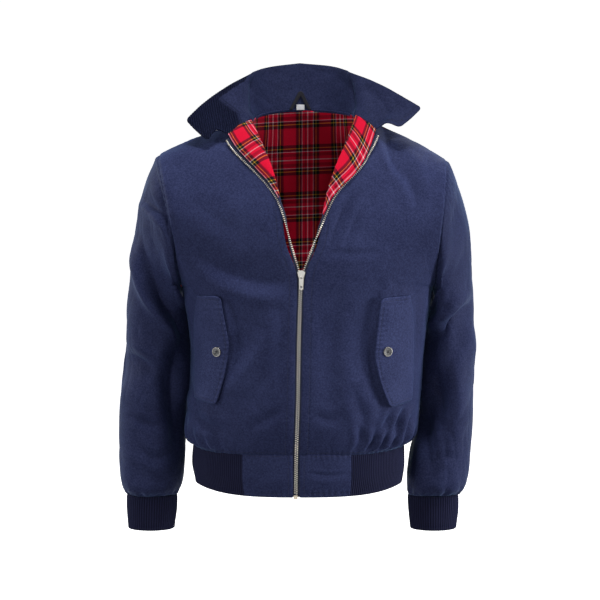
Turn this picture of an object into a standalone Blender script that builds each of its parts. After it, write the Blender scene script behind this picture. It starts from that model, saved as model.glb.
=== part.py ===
"""Harrington jacket, filled out and hollow, built from the pieces that are cut and sewn.

Metres, +Z up. The front faces -Y and the wearer's left is +X. The origin is the middle of
the neck base, at the height of the shoulders' inner ends, where the wearer holds it up.
Tables are in millimetres and the meshes are scaled to metres.

Every panel is a surface point(u, k): u runs from the middle of the body (0) to the side
seam or armhole (1), and k counts the rows upwards: -9 at the waist seam, 0 at the
underarm, 10 at the shoulder seam.
"""
import math

import bmesh
import bpy
import numpy as np
from mathutils import Vector

for leftover in list(bpy.data.objects):
    bpy.data.objects.remove(leftover, do_unlink=True)

MM = 0.001

# ---- driving dimensions, mm ----
CLOTH = 1.6            # body and sleeve cloth with its lining
RIB_WALL = 2.4         # doubled rib knit
COLLAR_WALL = 2.4      # two layers and interlining
LINING = 1.0
SEAM = 0.3             # space between two pieces where they are sewn
WAIST_LEVEL = -526.0   # seam between body and hem band
HEM_LEVEL = -590.0
HEM_DIP = 7.0          # how much lower the hem is at the zip
CUFF_TOP = -615.0
CUFF_BOTTOM = -673.0
WAIST_ROW = -9
SHOULDER_ROW = 10
ARMHOLE_COLUMNS = 20   # around a sleeve, so 18 degrees each
RIB_PITCH_HEM = 4.6
RIB_PITCH_CUFF = 3.7
RIB_HEIGHT = 0.7

SIDES = {"right": -1.0, "left": 1.0}

# Body below the arms: distance of each side seam from the middle, and of the front and
# back from the line between the side seams.
BODY_SECTIONS = (
    # height, right, left, front, back
    (-526, 177, 173, 118, 108),
    (-519, 187, 183, 127, 118),
    (-506, 192, 193, 133, 125),
    (-486, 191, 196, 135, 128),
    (-455, 187, 199, 135, 129),
    (-400, 181, 203, 134, 128),
    (-355, 183, 206, 132, 127),
    (-310, 187, 213, 131, 127),
    (-268, 194, 219, 130, 126),
)
ROW_LEVELS = (-526, -519, -506, -486, -458, -424, -386, -347, -308, -268)

CENTRE_FRONT = (
    # height, x of the zip
    (-600, -7), (-526, -6), (-435, -3), (-355, -2), (-275, 0), (-228, 2),
)
ZIP_TO_CLOTH = 5.6     # from the middle of the closed zip to each cloth edge

# Inner edge of each front above the closed zip: the edge, then the roll line of the
# turned-back part, up to the shoulder seam. One row per panel row from 0 upwards.
FRONT_EDGE = {
    "right": (
        # x, y, height
        (-4.6, -130, -262), (-7.0, -130, -228), (-21, -127, -190), (-26, -121, -160),
        (-28, -114, -133), (-33, -104, -107), (-40, -91, -81), (-49, -75, -56),
        (-59, -55, -34), (-69, -31, -13), (-79, -2, 6),
    ),
    "left": (
        (5.6, -130, -262), (11.0, -130, -228), (26, -127, -191), (32.5, -121, -162),
        (36, -114, -135), (42, -104, -109), (50, -91, -83), (60, -75, -58),
        (71, -55, -34), (81, -31, -10), (90, -2, 13),
    ),
}
BACK_CENTRE = (
    # depth, height, one row per panel row from 0 upwards
    (126, -268), (127, -240), (128, -212), (128, -184), (127, -155), (125, -126),
    (121, -97), (114, -68), (105, -40), (94, -10), (81, 24),
)
SHOULDER_BEND = 60.0   # degrees of turn left in a row half-way up the armhole

# Armholes: ends of the slanted oval, its half depth and how far its sides bow inwards.
ARMHOLE = {
    # shoulder x, shoulder z, underarm x, underarm z
    "right": (-233, -50, -194, -268),
    "left": (241, -58, 219, -268),
}
ARMHOLE_Y = 3.0
ARMHOLE_HALF_DEPTH = 88.0
ARMHOLE_BOW = {"right": 6.0, "left": 2.0}

# Sleeves: each ring is an oval from an outer to an inner point.
SLEEVE_RINGS = {
    "right": (
        # outer x, outer z, inner x, inner z, middle y, half depth
        (-233, -50, -194, -268, 3, 88),
        (-241, -64, -197, -281, 7, 89),
        (-253, -92, -196, -294, 13, 88),
        (-264, -128, -191.5, -309, 22, 86),
        (-274.5, -175, -187, -330, 29, 83),
        (-281.5, -230, -183.5, -356, 34, 80),
        (-287, -284, -182, -383, 36, 78),
        (-291, -340, -181.5, -415, 37, 76),
        (-295, -394, -184.5, -448, 36, 74),
        (-301, -450, -189, -482, 33, 72),
        (-303, -505, -191, -520, 28, 69),
        (-303.5, -550, -192, -555, 22, 65),
        (-301.5, -583, -194, -583, 16, 60),
        (-298, -602, -197.5, -600, 11, 53),
        (-293, -611, -202, -610, 8, 41),
        (-289, -615, -204.5, -615, 7, 28),
    ),
    "left": (
        (241, -58, 219, -268, 3, 88),
        (248, -71, 221, -282, 7, 89),
        (258, -94, 220, -296, 13, 88),
        (268, -122, 216.5, -311, 20, 86),
        (277, -158, 212, -332, 27, 83),
        (284, -203, 207, -358, 33, 80),
        (287.5, -254, 203.5, -386, 36, 78),
        (291, -310, 201.5, -418, 37, 76),
        (292, -366, 199.5, -449, 36, 74),
        (291, -425, 197, -480, 33, 72),
        (290, -483, 194, -507, 28, 69),
        (287, -536, 184, -538, 22, 65),
        (282.5, -577, 179, -572, 16, 60),
        (277, -601, 178.5, -596, 11, 53),
        (270, -611, 179.5, -608, 8, 41),
        (264.5, -615, 180.5, -615, 7, 28),
    ),
}
# Largest sleeve folds: a soft trough (or, negative, a ridge) between two places given by
# the angle round the sleeve (0 outer, 90 front, 180 inner) and the ring number.
SLEEVE_FOLDS = {
    "right": (
        # angle 1, ring 1, angle 2, ring 2, depth mm, width degrees, width rings
        (20, 1.5, 110, 4.5, 4.0, 22, 1.0),
        (0, 8.0, 70, 9.3, 5.0, 20, 0.8),
        (150, 6.0, 70, 10.0, 5.0, 22, 0.9),
        (40, 11.4, 130, 12.2, 3.5, 24, 0.6),
        (230, 3.0, 330, 6.0, 4.5, 26, 1.1),
        (200, 8.0, 300, 9.5, 4.5, 24, 0.9),
    ),
    "left": (
        (30, 2.0, 110, 4.0, 3.5, 22, 1.0),
        (15, 6.2, 125, 8.6, 6.0, 20, 0.8),
        (120, 8.6, 160, 10.4, 6.0, 24, 1.0),
        (30, 11.2, 120, 12.3, 3.5, 24, 0.6),
        (230, 4.0, 320, 6.5, 4.5, 26, 1.1),
        (210, 8.4, 310, 9.6, 4.5, 24, 0.9),
    ),
}
CUFF_GATHERS = 10      # round each sleeve above its cuff
CUFF_GATHER_DEPTH = 3.0
CUFF_HALF_WIDTH_TOP = 42.2
CUFF_HALF_WIDTH_BOTTOM = 38.8
CUFF_HALF_DEPTH = 27.0
CUFF_Y = 7.0
CUFF_MIDDLE = {"right": (-246.8, -249.0), "left": (222.5, 222.8)}   # x at top and bottom

WAIST_GATHERS = {"right": (6, 1.6), "left": (6, 3.4), "back": (14, 3.2)}  # count, depth

# Plain ends of the hem band, from the zip to where the rib starts.
HEM_PLAIN_END = {"right": -92.0, "left": 82.0}

# Free edge of each turned-back lining strip, with the row of the roll line beside it.
LAPEL = {
    "right": (
        # roll row, edge x, edge z, lift off the chest
        (4.8, -34, -113, 3.6), (5.4, -43, -99, 3.6), (6.1, -54, -85, 3.6),
        (7.2, -70, -69, 3.8), (8.3, -87, -52, 5.0), (9.2, -103, -34, 8.0),
        (10.0, -116, -14, 12.0),
    ),
    "left": (
        (3.85, 36.2, -139.5, 4.2), (4.4, 41.5, -132, 3.8), (5.1, 51, -114, 3.6),
        (6.0, 68, -96, 3.6), (7.0, 86, -79, 3.8), (7.9, 99, -62, 4.6),
        (8.8, 110, -41, 7.0), (10.0, 123, -7, 12.0),
    ),
}
LAPEL_ROLL_HEIGHT = 4.0
LAPEL_ROWS = 12

# Each row of zip teeth above the slider: its place from the front, how far it stands off
# the chest and how far it has rolled over (0 as in the closed zip, 180 turned back).
ZIP_OPEN = {
    "right": (
        # x, z, lift, roll
        (-3.0, -224, -1.0, 0), (-9, -205, 0.0, 25), (-16, -182, 2.2, 65),
        (-21, -160, 3.6, 100), (-27, -139, 3.8, 140), (-37, -117, 2.6, 172),
        (-48, -101, 1.9, 180), (-59, -88, 1.9, 180), (-75, -72, 2.1, 180),
        (-92, -56, 3.2, 180), (-108, -40, 5.4, 180), (-119, -24, 9.0, 180),
    ),
    "left": (
        (7.6, -223, -1.0, 0), (17, -200, 0.4, 35), (26, -176, 2.8, 95),
        (35, -155, 2.8, 150), (45, -133, 2.0, 180), (56, -112, 1.9, 180),
        (72, -93, 1.9, 180), (89, -77, 2.0, 180), (103, -61, 3.0, 180),
        (112, -45, 4.6, 180), (121, -30, 7.0, 180), (127, -17, 9.4, 180),
    ),
}
ZIP_OPEN_STEPS = tuple(i / 2 for i in range(13)) + (7, 8, 9, 10, 11)   # rows of the table
CHAIN_WIDTH = 2.6      # one row of teeth
CHAIN_THICK = 1.8
TAPE_THICK = 0.8
TAPE_FROM_TOOTH = 2.0
TAPE_REACH = (7.5, 4.4)   # from the teeth's middle, sewn behind the cloth and rolled back
ZIP_BEHIND_CLOTH = 1.4
ZIP_END = -592.0
SLIDER_TOP = -229.0
SLIDER_BOTTOM = -240.0
SLIDER_HALF_WIDTH = 6.2
PLATE = 1.1
BAIL_INNER = 1.1
BAIL_OUTER = 2.1
TAB_LENGTH = 20.0
TAB_WIDTH = 7.6
TAB_THICK = 1.2

# Collar from the middle of the back to the tip: where each station's seam edge lies (an
# angle round the neck, a share of the lapel's top, or a place of its own) and its free edge.
COLLAR_NECK_ANGLES = (0.0, 36.0, 72.0, 90.0)
COLLAR_LAPEL_STATIONS = 3
COLLAR_LOOSE_SEAM = {
    "right": ((-134, -41, -8), (-150, -50, -25)),
    "left": ((139, -42, 3), (161, -50, -4)),
}
COLLAR_FREE_EDGE = {
    "right": (
        # x, y, z
        (0, 99, 101), (-48, 88, 95), (-73, 60, 87.5), (-83, 45, 82), (-110, 20, 68),
        (-137, 4, 51), (-158, -8, 35), (-172, -16, 22), (-186, -24, 8),
    ),
    "left": (
        (0, 99, 101), (50, 88, 96), (74, 59, 89), (83, 45, 85), (117, 20, 72),
        (141, 4, 60), (163, -8, 48), (180, -16, 38), (198, -24, 28),
    ),
}
NECK_MITRE = (0.0, 0.75, -0.65)  # way in through the cloth along the lapel's top
COLLAR_BOW = 5.0
COLLAR_STEPS = 2       # columns per station
COLLAR_ROWS = 6

POCKET_FLAP = {
    "right": (
        # sewn x, sewn z, free x, free z, from the top down
        (-165, -273, -127, -271), (-171, -298, -122, -298), (-172.5, -324, -117, -324),
        (-173, -350, -113, -350), (-173, -376, -116, -377), (-173, -406, -124, -412),
        (-172, -441, -135, -447),
    ),
    "left": (
        (177, -272, 129, -274), (181, -296, 126, -299), (183.5, -321, 123, -325),
        (184, -346, 120.5, -350), (184, -372, 120, -373), (184, -406, 129, -412),
        (182, -445, 145, -452),
    ),
}
FLAP_LIFT = (0.9, 3.0)           # at the sewn edge and at the free edge
BUTTON_AT = {"right": (-133, -361), "left": (140, -360)}
BUTTON_RADIUS = 8.0

BINDING_COLUMNS = 4
BINDING_SET_IN = 0.6
NECK_LEAN = 0.28       # how far the loop and the label lean back with the collar
NECK_BEND = 80.0       # mm; the trim follows the neck's curve
LOOP_THICK = 1.2
LABEL_THICK = 0.6
HANGER_LOOP = (
    # outer x, outer height, inner x, inner height, along the bent tape
    (-18.0, 0.0, -12.5, 0.0), (-10.0, 15.0, -5.8, 11.0), (-2.5, 29.0, 0.6, 22.0),
    (4.5, 29.0, 1.4, 22.0), (11.5, 15.0, 7.4, 11.0), (19.0, 0.0, 13.5, 0.0),
)
SIZE_LABEL = (
    # left x, left height, right x, right height, from the top down
    (-6.0, 8.5, 7.5, 8.5), (-6.0, -0.5, 7.5, -0.5),
)


# ---------------------------------------------------------------- curves and surfaces

def smooth(knots, values, at):
    """Cubic curve through values at knots, its slopes taken from the neighbours."""
    knots = np.asarray(knots, float)
    values = np.asarray(values, float)
    at = np.asarray(at, float)
    slopes = np.gradient(values, knots, axis=0)
    first = np.clip(np.searchsorted(knots, at, side="right") - 1, 0, len(knots) - 2)
    span = knots[first + 1] - knots[first]
    t = np.clip((at - knots[first]) / span, 0.0, 1.0)
    widen = t.shape + (1,) * (values.ndim - 1)
    t = t.reshape(widen)
    span = span.reshape(widen)
    start = (1 + 2 * t) * (1 - t) ** 2 * values[first] + t * (1 - t) ** 2 * span * slopes[first]
    end = t * t * (3 - 2 * t) * values[first + 1] + t * t * (t - 1) * span * slopes[first + 1]
    return start + end


def ease(t):
    """0 to 1 with no slope at either end."""
    t = np.clip(t, 0.0, 1.0)
    return t * t * (3 - 2 * t)


def unit(v):
    return v / np.maximum(np.linalg.norm(v, axis=-1, keepdims=True), 1e-9)


def centre_front_x(height):
    table = np.array(CENTRE_FRONT, float)
    return np.interp(height, table[:, 0], table[:, 1])


def body_section(height):
    """right, left, front and back distances at a height."""
    table = np.array(BODY_SECTIONS, float)
    return smooth(table[:, 0], table[:, 1:], height)


def armhole_point(side, angle):
    """Point of the armhole: 0 is the shoulder, 90 the front, 180 the underarm."""
    shoulder_x, shoulder_z, underarm_x, underarm_z = ARMHOLE[side]
    a = np.radians(angle)
    x = (shoulder_x + underarm_x) / 2 + (shoulder_x - underarm_x) / 2 * np.cos(a)
    x = x - SIDES[side] * ARMHOLE_BOW[side] * np.sin(a) ** 2
    z = (shoulder_z + underarm_z) / 2 + (shoulder_z - underarm_z) / 2 * np.cos(a)
    y = ARMHOLE_Y - ARMHOLE_HALF_DEPTH * np.sin(a)
    return np.stack([x, y, z], axis=-1)


def armhole_middle(side):
    shoulder_x, shoulder_z, underarm_x, underarm_z = ARMHOLE[side]
    return np.array([(shoulder_x + underarm_x) / 2, ARMHOLE_Y, (shoulder_z + underarm_z) / 2])


class Panel:
    """Half of the front or of the back, as rows between an inner and an outer edge.

    Each row is the part of a squared oval that turns through `turn` degrees from the
    inner end, where it runs straight across, to the outer end.
    """

    def __init__(self, side, is_back):
        self.side = side
        self.is_back = is_back
        self.rows = np.arange(WAIST_ROW, SHOULDER_ROW + 1)
        inner = []
        outer = []
        turn = []
        square = []
        sign = SIDES[side]
        for k in self.rows:
            if k < 0:
                height = ROW_LEVELS[k - WAIST_ROW]
                right, left, front, back = body_section(height)
                reach = left if sign > 0 else right
                middle = centre_front_x(height)
                if is_back:
                    inner.append((0.0, back, height))
                else:
                    inner.append((middle + sign * ZIP_TO_CLOTH, -front, height))
                outer.append((sign * reach, ARMHOLE_Y * ease((k + 9) / 9), height))
                turn.append(90.0)
                square.append(0.86)
                continue
            angle = 180.0 - 18.0 * k
            outer.append(armhole_point(side, -angle if is_back else angle))
            if is_back:
                depth, height = BACK_CENTRE[k]
                inner.append((0.0, depth, height))
            else:
                inner.append(FRONT_EDGE[side][k])
            climb = k / SHOULDER_ROW
            turn.append(90.0 - (90.0 - SHOULDER_BEND) * 2 * climb - 30.0 * climb ** 3)
            square.append(0.86 + 0.14 * climb)
        self.inner = np.array(inner, float)
        self.outer = np.array(outer, float)
        self.turn = np.maximum(np.array(turn, float), 1.0)
        self.square = np.array(square, float)

    def neck_and_shoulder(self, u):
        """Top edge: the shoulder seam and, on a back half, the neck before it."""
        neck = np.array(FRONT_EDGE[self.side][SHOULDER_ROW], float)
        shoulder = self.outer[-1]
        middle = self.inner[-1]
        if not self.is_back:
            return neck + (shoulder - neck) * u[..., None]
        quarter = np.clip(u / NECK_SHARE, 0, 1)[..., None] * math.pi / 2
        sweep = np.concatenate([np.sin(quarter), np.cos(quarter), np.cos(quarter)], axis=-1)
        round_neck = neck + (middle - neck) * sweep
        round_neck[..., 0] = neck[0] * sweep[..., 0]
        along = np.clip((u - NECK_SHARE) / (1 - NECK_SHARE), 0, 1)[..., None]
        return np.where((u > NECK_SHARE)[..., None], neck + (shoulder - neck) * along, round_neck)

    def plain_point(self, u, k):
        """The panel before its shoulder edge is drawn to the seam and its waist gathered."""
        inner = smooth(self.rows, self.inner, k)
        outer = smooth(self.rows, self.outer, k)
        turn = np.radians(smooth(self.rows, self.turn, k))
        square = smooth(self.rows, self.square, k)
        t = np.clip(u, 0, 1) * turn
        across = (np.sin(t) / np.sin(turn)) ** square
        end = np.abs(np.cos(turn)) ** square
        ahead = (np.abs(np.cos(t)) ** square - end) / (1 - end)
        x = inner[..., 0] + (outer[..., 0] - inner[..., 0]) * across
        y = outer[..., 1] + (inner[..., 1] - outer[..., 1]) * ahead
        z = inner[..., 2] + (outer[..., 2] - inner[..., 2]) * u
        return np.stack([x, y, z], axis=-1)

    def point(self, u, k):
        u = np.asarray(u, float) + np.zeros_like(np.asarray(k, float))
        k = np.asarray(k, float) + np.zeros_like(u)
        places = self.plain_point(u, k)
        plain_top = self.plain_point(u, np.full_like(u, SHOULDER_ROW))
        share = ease((k - 6.0) / 4.0)[..., None]
        places = places + share * (self.neck_and_shoulder(u) - plain_top)
        return places + self.gathers(u, k, places)

    def gathers(self, u, k, places):
        """Tucks where the body is drawn in to the band, none at the seams' ends."""
        count, depth = WAIST_GATHERS["back" if self.is_back else self.side]
        waves = (1 - np.cos(2 * math.pi * count / (2 if self.is_back else 1) * u)) / 2
        rise = np.interp(k, (-9, -8, -7, -6, -5, -4), (0, 0.8, 1, 0.6, 0.25, 0))
        over_rib = 1.0 if self.is_back else ease((u - 0.30) / 0.15)
        radial = unit(places * np.array([1.0, 1.0, 0.0]))
        return -radial * (depth * waves * rise * over_rib)[..., None]

    def normal(self, u, k):
        """Outward unit normal."""
        step = 0.01
        across = self.point(np.minimum(u + step, 1), k) - self.point(np.maximum(u - step, 0), k)
        up = self.point(u, np.minimum(k + step, SHOULDER_ROW)) - self.point(u, k - step)
        n = unit(np.cross(across, up))
        middle = np.array([0.0, 0.0, -60.0])
        flat = self.point(u, k) - middle
        flat = flat * np.array([1.0, 1.0, 0.4])
        return n * np.where((n * flat).sum(-1) < 0, -1.0, 1.0)[..., None]

    def lifted(self, u, k, lift):
        return self.point(u, k) + self.normal(u, k) * np.asarray(lift, float)[..., None]

    def seen_at(self, x, z, lift):
        """The lifted point that lies at x and z from the front, by Newton's method."""
        x = np.asarray(x, float)
        z = np.asarray(z, float)
        lift = np.asarray(lift, float) + np.zeros_like(x)
        try_u, try_k = np.meshgrid(np.linspace(0.02, 0.98, 49), np.linspace(-8.5, 9.7, 92))
        tries = self.point(try_u.ravel(), try_k.ravel())
        near = (tries[:, 0] - x.ravel()[:, None]) ** 2 + (tries[:, 2] - z.ravel()[:, None]) ** 2
        best = near.argmin(axis=1)
        u = try_u.ravel()[best].reshape(x.shape)
        k = try_k.ravel()[best].reshape(x.shape)
        target = np.stack([x, z], axis=-1)
        step = 0.002
        for _ in range(8):
            here = self.lifted(u, k, lift)[..., [0, 2]]
            by_u = (self.lifted(u + step, k, lift)[..., [0, 2]] - here) / step
            by_k = (self.lifted(u, k - step, lift)[..., [0, 2]] - here) / -step
            miss = target - here
            size = by_u[..., 0] * by_k[..., 1] - by_u[..., 1] * by_k[..., 0]
            move_u = (miss[..., 0] * by_k[..., 1] - miss[..., 1] * by_k[..., 0]) / size
            move_k = (by_u[..., 0] * miss[..., 1] - by_u[..., 1] * miss[..., 0]) / size
            u = np.clip(u + np.clip(move_u, -0.08, 0.08), 0.0, 1.0 - step)
            k = np.clip(k + np.clip(move_k, -0.8, 0.8), -8.9, SHOULDER_ROW - step)
        return u, k


# ---------------------------------------------------------------- meshes

def add_object(name, mesh, colour, roughness, metallic=0.0):
    material = bpy.data.materials.new(name)
    material.use_nodes = True
    shader = material.node_tree.nodes["Principled BSDF"]
    shader.inputs["Base Color"].default_value = (*colour, 1.0)
    shader.inputs["Roughness"].default_value = roughness
    shader.inputs["Metallic"].default_value = metallic
    mesh.materials.append(material)
    mesh.shade_smooth()
    mesh.set_sharp_from_angle(angle=math.radians(45))
    piece = bpy.data.objects.new(name, mesh)
    bpy.context.scene.collection.objects.link(piece)
    return piece


def solid_mesh(name, vertices, faces):
    """A closed mesh from points in mm, its faces turned outwards."""
    mesh = bpy.data.meshes.new(name)
    mesh.from_pydata([tuple(v) for v in np.asarray(vertices) * MM], [], faces)
    work = bmesh.new()
    work.from_mesh(mesh)
    bmesh.ops.recalc_face_normals(work, faces=work.faces)
    work.to_mesh(mesh)
    work.free()
    return mesh


def grid_normals(grid, closed):
    """Unit normals of a grid of points, across the columns and up the rows."""
    if closed:
        across = np.roll(grid, -1, axis=1) - np.roll(grid, 1, axis=1)
    else:
        across = np.gradient(grid, axis=1)
    return unit(np.cross(across, np.gradient(grid, axis=0)))


def pull_in(grid, first_row=0.0, last_row=0.0, first_column=0.0, last_column=0.0):
    """Draw the named edges back along the cloth, to leave the seams' spaces."""
    moved = grid.copy()
    moved[0] += unit(grid[1] - grid[0]) * first_row
    moved[-1] += unit(grid[-2] - grid[-1]) * last_row
    moved[:, 0] += unit(grid[:, 1] - grid[:, 0]) * first_column
    moved[:, -1] += unit(grid[:, -2] - grid[:, -1]) * last_column
    return moved


def wall(name, outer, thickness, hint, closed=False, seams=None):
    """Wall of cloth: an outer grid, and an inner one set in along the normals.

    hint(grid) gives rough outward directions. seams maps an edge's name to the direction
    in which the wall goes in there, so that two pieces meet face to face.
    """
    normals = grid_normals(outer, closed)
    if (normals * hint(outer)).sum() < 0:
        normals = -normals
    inward = -normals
    for edge, direction in (seams or {}).items():
        direction = unit(np.asarray(direction, float))
        if edge == "first_row":
            inward[0] = direction
        elif edge == "last_row":
            inward[-1] = direction
        elif edge == "first_column":
            inward[:, 0] = direction
        else:
            inward[:, -1] = direction
    inner = outer + inward * thickness
    return solid_mesh(name, np.concatenate([outer.reshape(-1, 3), inner.reshape(-1, 3)]),
                      shell_faces(outer.shape[0], outer.shape[1], closed))


def shell_faces(rows, columns, closed):
    """Faces of a wall: outer grid first, then inner grid, joined along every edge."""
    count = rows * columns
    faces = []
    spans = columns if closed else columns - 1
    for i in range(rows - 1):
        for j in range(spans):
            a = i * columns + j
            b = i * columns + (j + 1) % columns
            faces.append((a, b, b + columns, a + columns))
            faces.append((count + a, count + a + columns, count + b + columns, count + b))
    for j in range(spans):
        for i in (0, rows - 1):
            a = i * columns + j
            b = i * columns + (j + 1) % columns
            faces.append((a, count + a, count + b, b) if i == 0 else (a, b, count + b, count + a))
    if not closed:
        for i in range(rows - 1):
            for j in (0, columns - 1):
                a = i * columns + j
                b = a + columns
                faces.append((a, b, count + b, count + a) if j == 0
                             else (a, count + a, count + b, b))
    return faces


def ribbed_wall(name, place, ribs, levels, thickness, closed, columns_per_cell=4):
    """Knitted rib: the outer points rise and fall, two to a rib, over a plain inside.

    place(s, level, inset) gives the point a share s along the band, set in from its face.
    """
    count = 2 * ribs if closed else 2 * ribs + 1
    cells = (2 * ribs) // columns_per_cell
    shares = np.arange(count) / (2.0 * ribs)
    raised = np.where(np.arange(count) % 2 == 0, 0.0, RIB_HEIGHT)
    inner_count = cells if closed else cells + 1
    inner_shares = np.arange(inner_count) / float(cells)
    vertices = [place(shares, level, raised) for level in levels]
    vertices += [place(inner_shares, level, np.full(inner_count, thickness)) for level in levels]
    base = len(levels) * count
    faces = []
    for i in range(len(levels) - 1):
        for j in range(count if closed else count - 1):
            a = i * count + j
            b = i * count + (j + 1) % count
            faces.append((a, b, b + count, a + count))
        for j in range(cells):
            a = base + i * inner_count + j
            b = base + i * inner_count + (j + 1) % inner_count
            faces.append((a, a + inner_count, b + inner_count, b))
    for i in (0, len(levels) - 1):
        for j in range(cells):
            outer_run = [i * count + (j * columns_per_cell + m) % count
                         for m in range(columns_per_cell + 1)]
            a = base + i * inner_count + j
            b = base + i * inner_count + (j + 1) % inner_count
            run = [a] + outer_run + [b]
            faces.append(tuple(run if i else reversed(run)))
    if not closed:
        for i in range(len(levels) - 1):
            for column, inner_column in ((0, 0), (count - 1, inner_count - 1)):
                a = i * count + column
                c = base + i * inner_count + inner_column
                run = (a, a + count, c + inner_count, c)
                faces.append(run if column == 0 else tuple(reversed(run)))
    return solid_mesh(name, np.concatenate(vertices), faces)


def strip(name, middle, across, through):
    """A bar with a rectangular section, carried along a line of points."""
    corners = [middle + across + through, middle - across + through,
               middle - across - through, middle + across - through]
    grid = np.stack(corners, axis=1)
    rows = len(middle)
    faces = [(i * 4 + j, i * 4 + (j + 1) % 4, (i + 1) * 4 + (j + 1) % 4, (i + 1) * 4 + j)
             for i in range(rows - 1) for j in range(4)]
    faces.append((3, 2, 1, 0))
    faces.append(tuple(rows * 4 - 4 + j for j in range(4)))
    return solid_mesh(name, grid.reshape(-1, 3), faces)


def prism(outline, low, high):
    """Vertices and faces of an outline in X and Z, from depth low to depth high."""
    count = len(outline)
    vertices = [(x, low, z) for x, z in outline] + [(x, high, z) for x, z in outline]
    faces = [tuple(range(count)), tuple(reversed(range(count, 2 * count)))]
    faces += [(i, (i + 1) % count, count + (i + 1) % count, count + i) for i in range(count)]
    return vertices, faces


def join_solids(name, solids):
    """One body from overlapping solids, by exact Boolean union."""
    meshes = [solid_mesh(name + "_blank", vertices, faces) for vertices, faces in solids]
    base = bpy.data.objects.new(name + "_base", meshes[0])
    bpy.context.scene.collection.objects.link(base)
    helpers = [base]
    for mesh in meshes[1:]:
        helper = bpy.data.objects.new(name + "_tool", mesh)
        bpy.context.scene.collection.objects.link(helper)
        union = base.modifiers.new("join", "BOOLEAN")
        union.operation = "UNION"
        union.object = helper
        helpers.append(helper)
    bpy.context.view_layer.update()
    depsgraph = bpy.context.evaluated_depsgraph_get()
    joined = bpy.data.meshes.new_from_object(base.evaluated_get(depsgraph))
    joined.name = name
    for helper in helpers:
        bpy.data.objects.remove(helper, do_unlink=True)
    joined.materials.clear()
    return joined


# ---------------------------------------------------------------- cloth pieces

NAVY = (0.025, 0.036, 0.095)
RIB_NAVY = (0.009, 0.010, 0.028)
TARTAN_RED = (0.50, 0.014, 0.040)
TAPE_BLACK = (0.010, 0.010, 0.016)
METAL = (0.62, 0.58, 0.47)

FRONT_COLUMNS = 12
BACK_COLUMNS = 14      # in each half
NECK_COLUMNS = 5       # of those, how many run round the neck at the top
NECK_SHARE = NECK_COLUMNS / BACK_COLUMNS
LINING_COLUMNS = 8     # in each half
LINING_BELOW_NECK = 0.16   # share of the top row that the binding takes

panels = {(side, is_back): Panel(side, is_back)
          for side in SIDES for is_back in (False, True)}


def away_from_body(grid):
    return grid * np.array([1.0, 1.0, 0.3]) - np.array([0.0, 0.0, -50.0])


def armhole_mitre(side, rows, is_back):
    """Direction in which the wall goes in along a panel's outer edge."""
    outer = panels[(side, is_back)].outer
    toward_middle = armhole_middle(side) - outer
    below = rows <= 0
    straight_in = np.tile([-SIDES[side], 0.0, 0.0], (len(rows), 1))
    return np.where(below[:, None], straight_in, toward_middle)


def make_front(side):
    panel = panels[(side, False)]
    rows = panel.rows
    u, k = np.meshgrid(np.arange(FRONT_COLUMNS + 1) / FRONT_COLUMNS, rows.astype(float))
    grid = panel.point(u, k)
    grid = pull_in(grid, SEAM / 2, SEAM / 2, 0.0, SEAM / 2)
    seams = {"first_row": -unit(grid[0] * np.array([1.0, 1.0, 0.0])),
             "first_column": (0.0, 1.0, 0.0),
             "last_row": (0.0, 0.0, -1.0),
             "last_column": armhole_mitre(side, rows, False)}
    mesh = wall("front_" + side, grid, CLOTH, away_from_body, seams=seams)
    add_object("front_" + side, mesh, NAVY, 0.75)


def back_grid(share, rows):
    """Points across the whole back, from the wearer's right to the left."""
    columns = int(round(BACK_COLUMNS * share))
    u = np.arange(columns + 1) / BACK_COLUMNS
    mesh_u, mesh_k = np.meshgrid(u, rows.astype(float))
    left = panels[("left", True)].point(mesh_u, mesh_k)
    right = panels[("right", True)].point(mesh_u, mesh_k)
    return np.concatenate([right[:, :0:-1], left], axis=1)


def make_back():
    rows = panels[("left", True)].rows
    grid = back_grid(1.0, rows)
    grid = pull_in(grid, SEAM / 2, SEAM / 2, SEAM / 2, SEAM / 2)
    top = np.zeros((grid.shape[1], 3))
    top[:] = (0.0, 0.0, -1.0)
    over_neck = np.abs(np.arange(grid.shape[1]) - BACK_COLUMNS) < NECK_COLUMNS
    top[over_neck] = (0.0, -1.0, -0.4)
    seams = {"first_row": -unit(grid[0] * np.array([1.0, 1.0, 0.0])),
             "last_row": top,
             "first_column": armhole_mitre("right", rows, True),
             "last_column": armhole_mitre("left", rows, True)}
    add_object("back", wall("back", grid, CLOTH, away_from_body, seams=seams), NAVY, 0.75)


def sleeve_fold_depth(side, angle, ring):
    """Sum of the soft troughs at an angle round the sleeve and a ring number."""
    total = np.zeros_like(angle)
    for angle_1, ring_1, angle_2, ring_2, depth, wide, tall in SLEEVE_FOLDS[side]:
        along = np.array([(angle_2 - angle_1) / wide, (ring_2 - ring_1) / tall])
        from_start = np.stack([(angle - angle_1) / wide, (ring - ring_1) / tall], axis=-1)
        share = np.clip((from_start * along).sum(-1) / (along ** 2).sum(), 0, 1)
        off = from_start - share[..., None] * along
        total += depth * np.exp(-(off ** 2).sum(-1)) * np.sin(math.pi * (0.15 + 0.7 * share))
    return total


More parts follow.
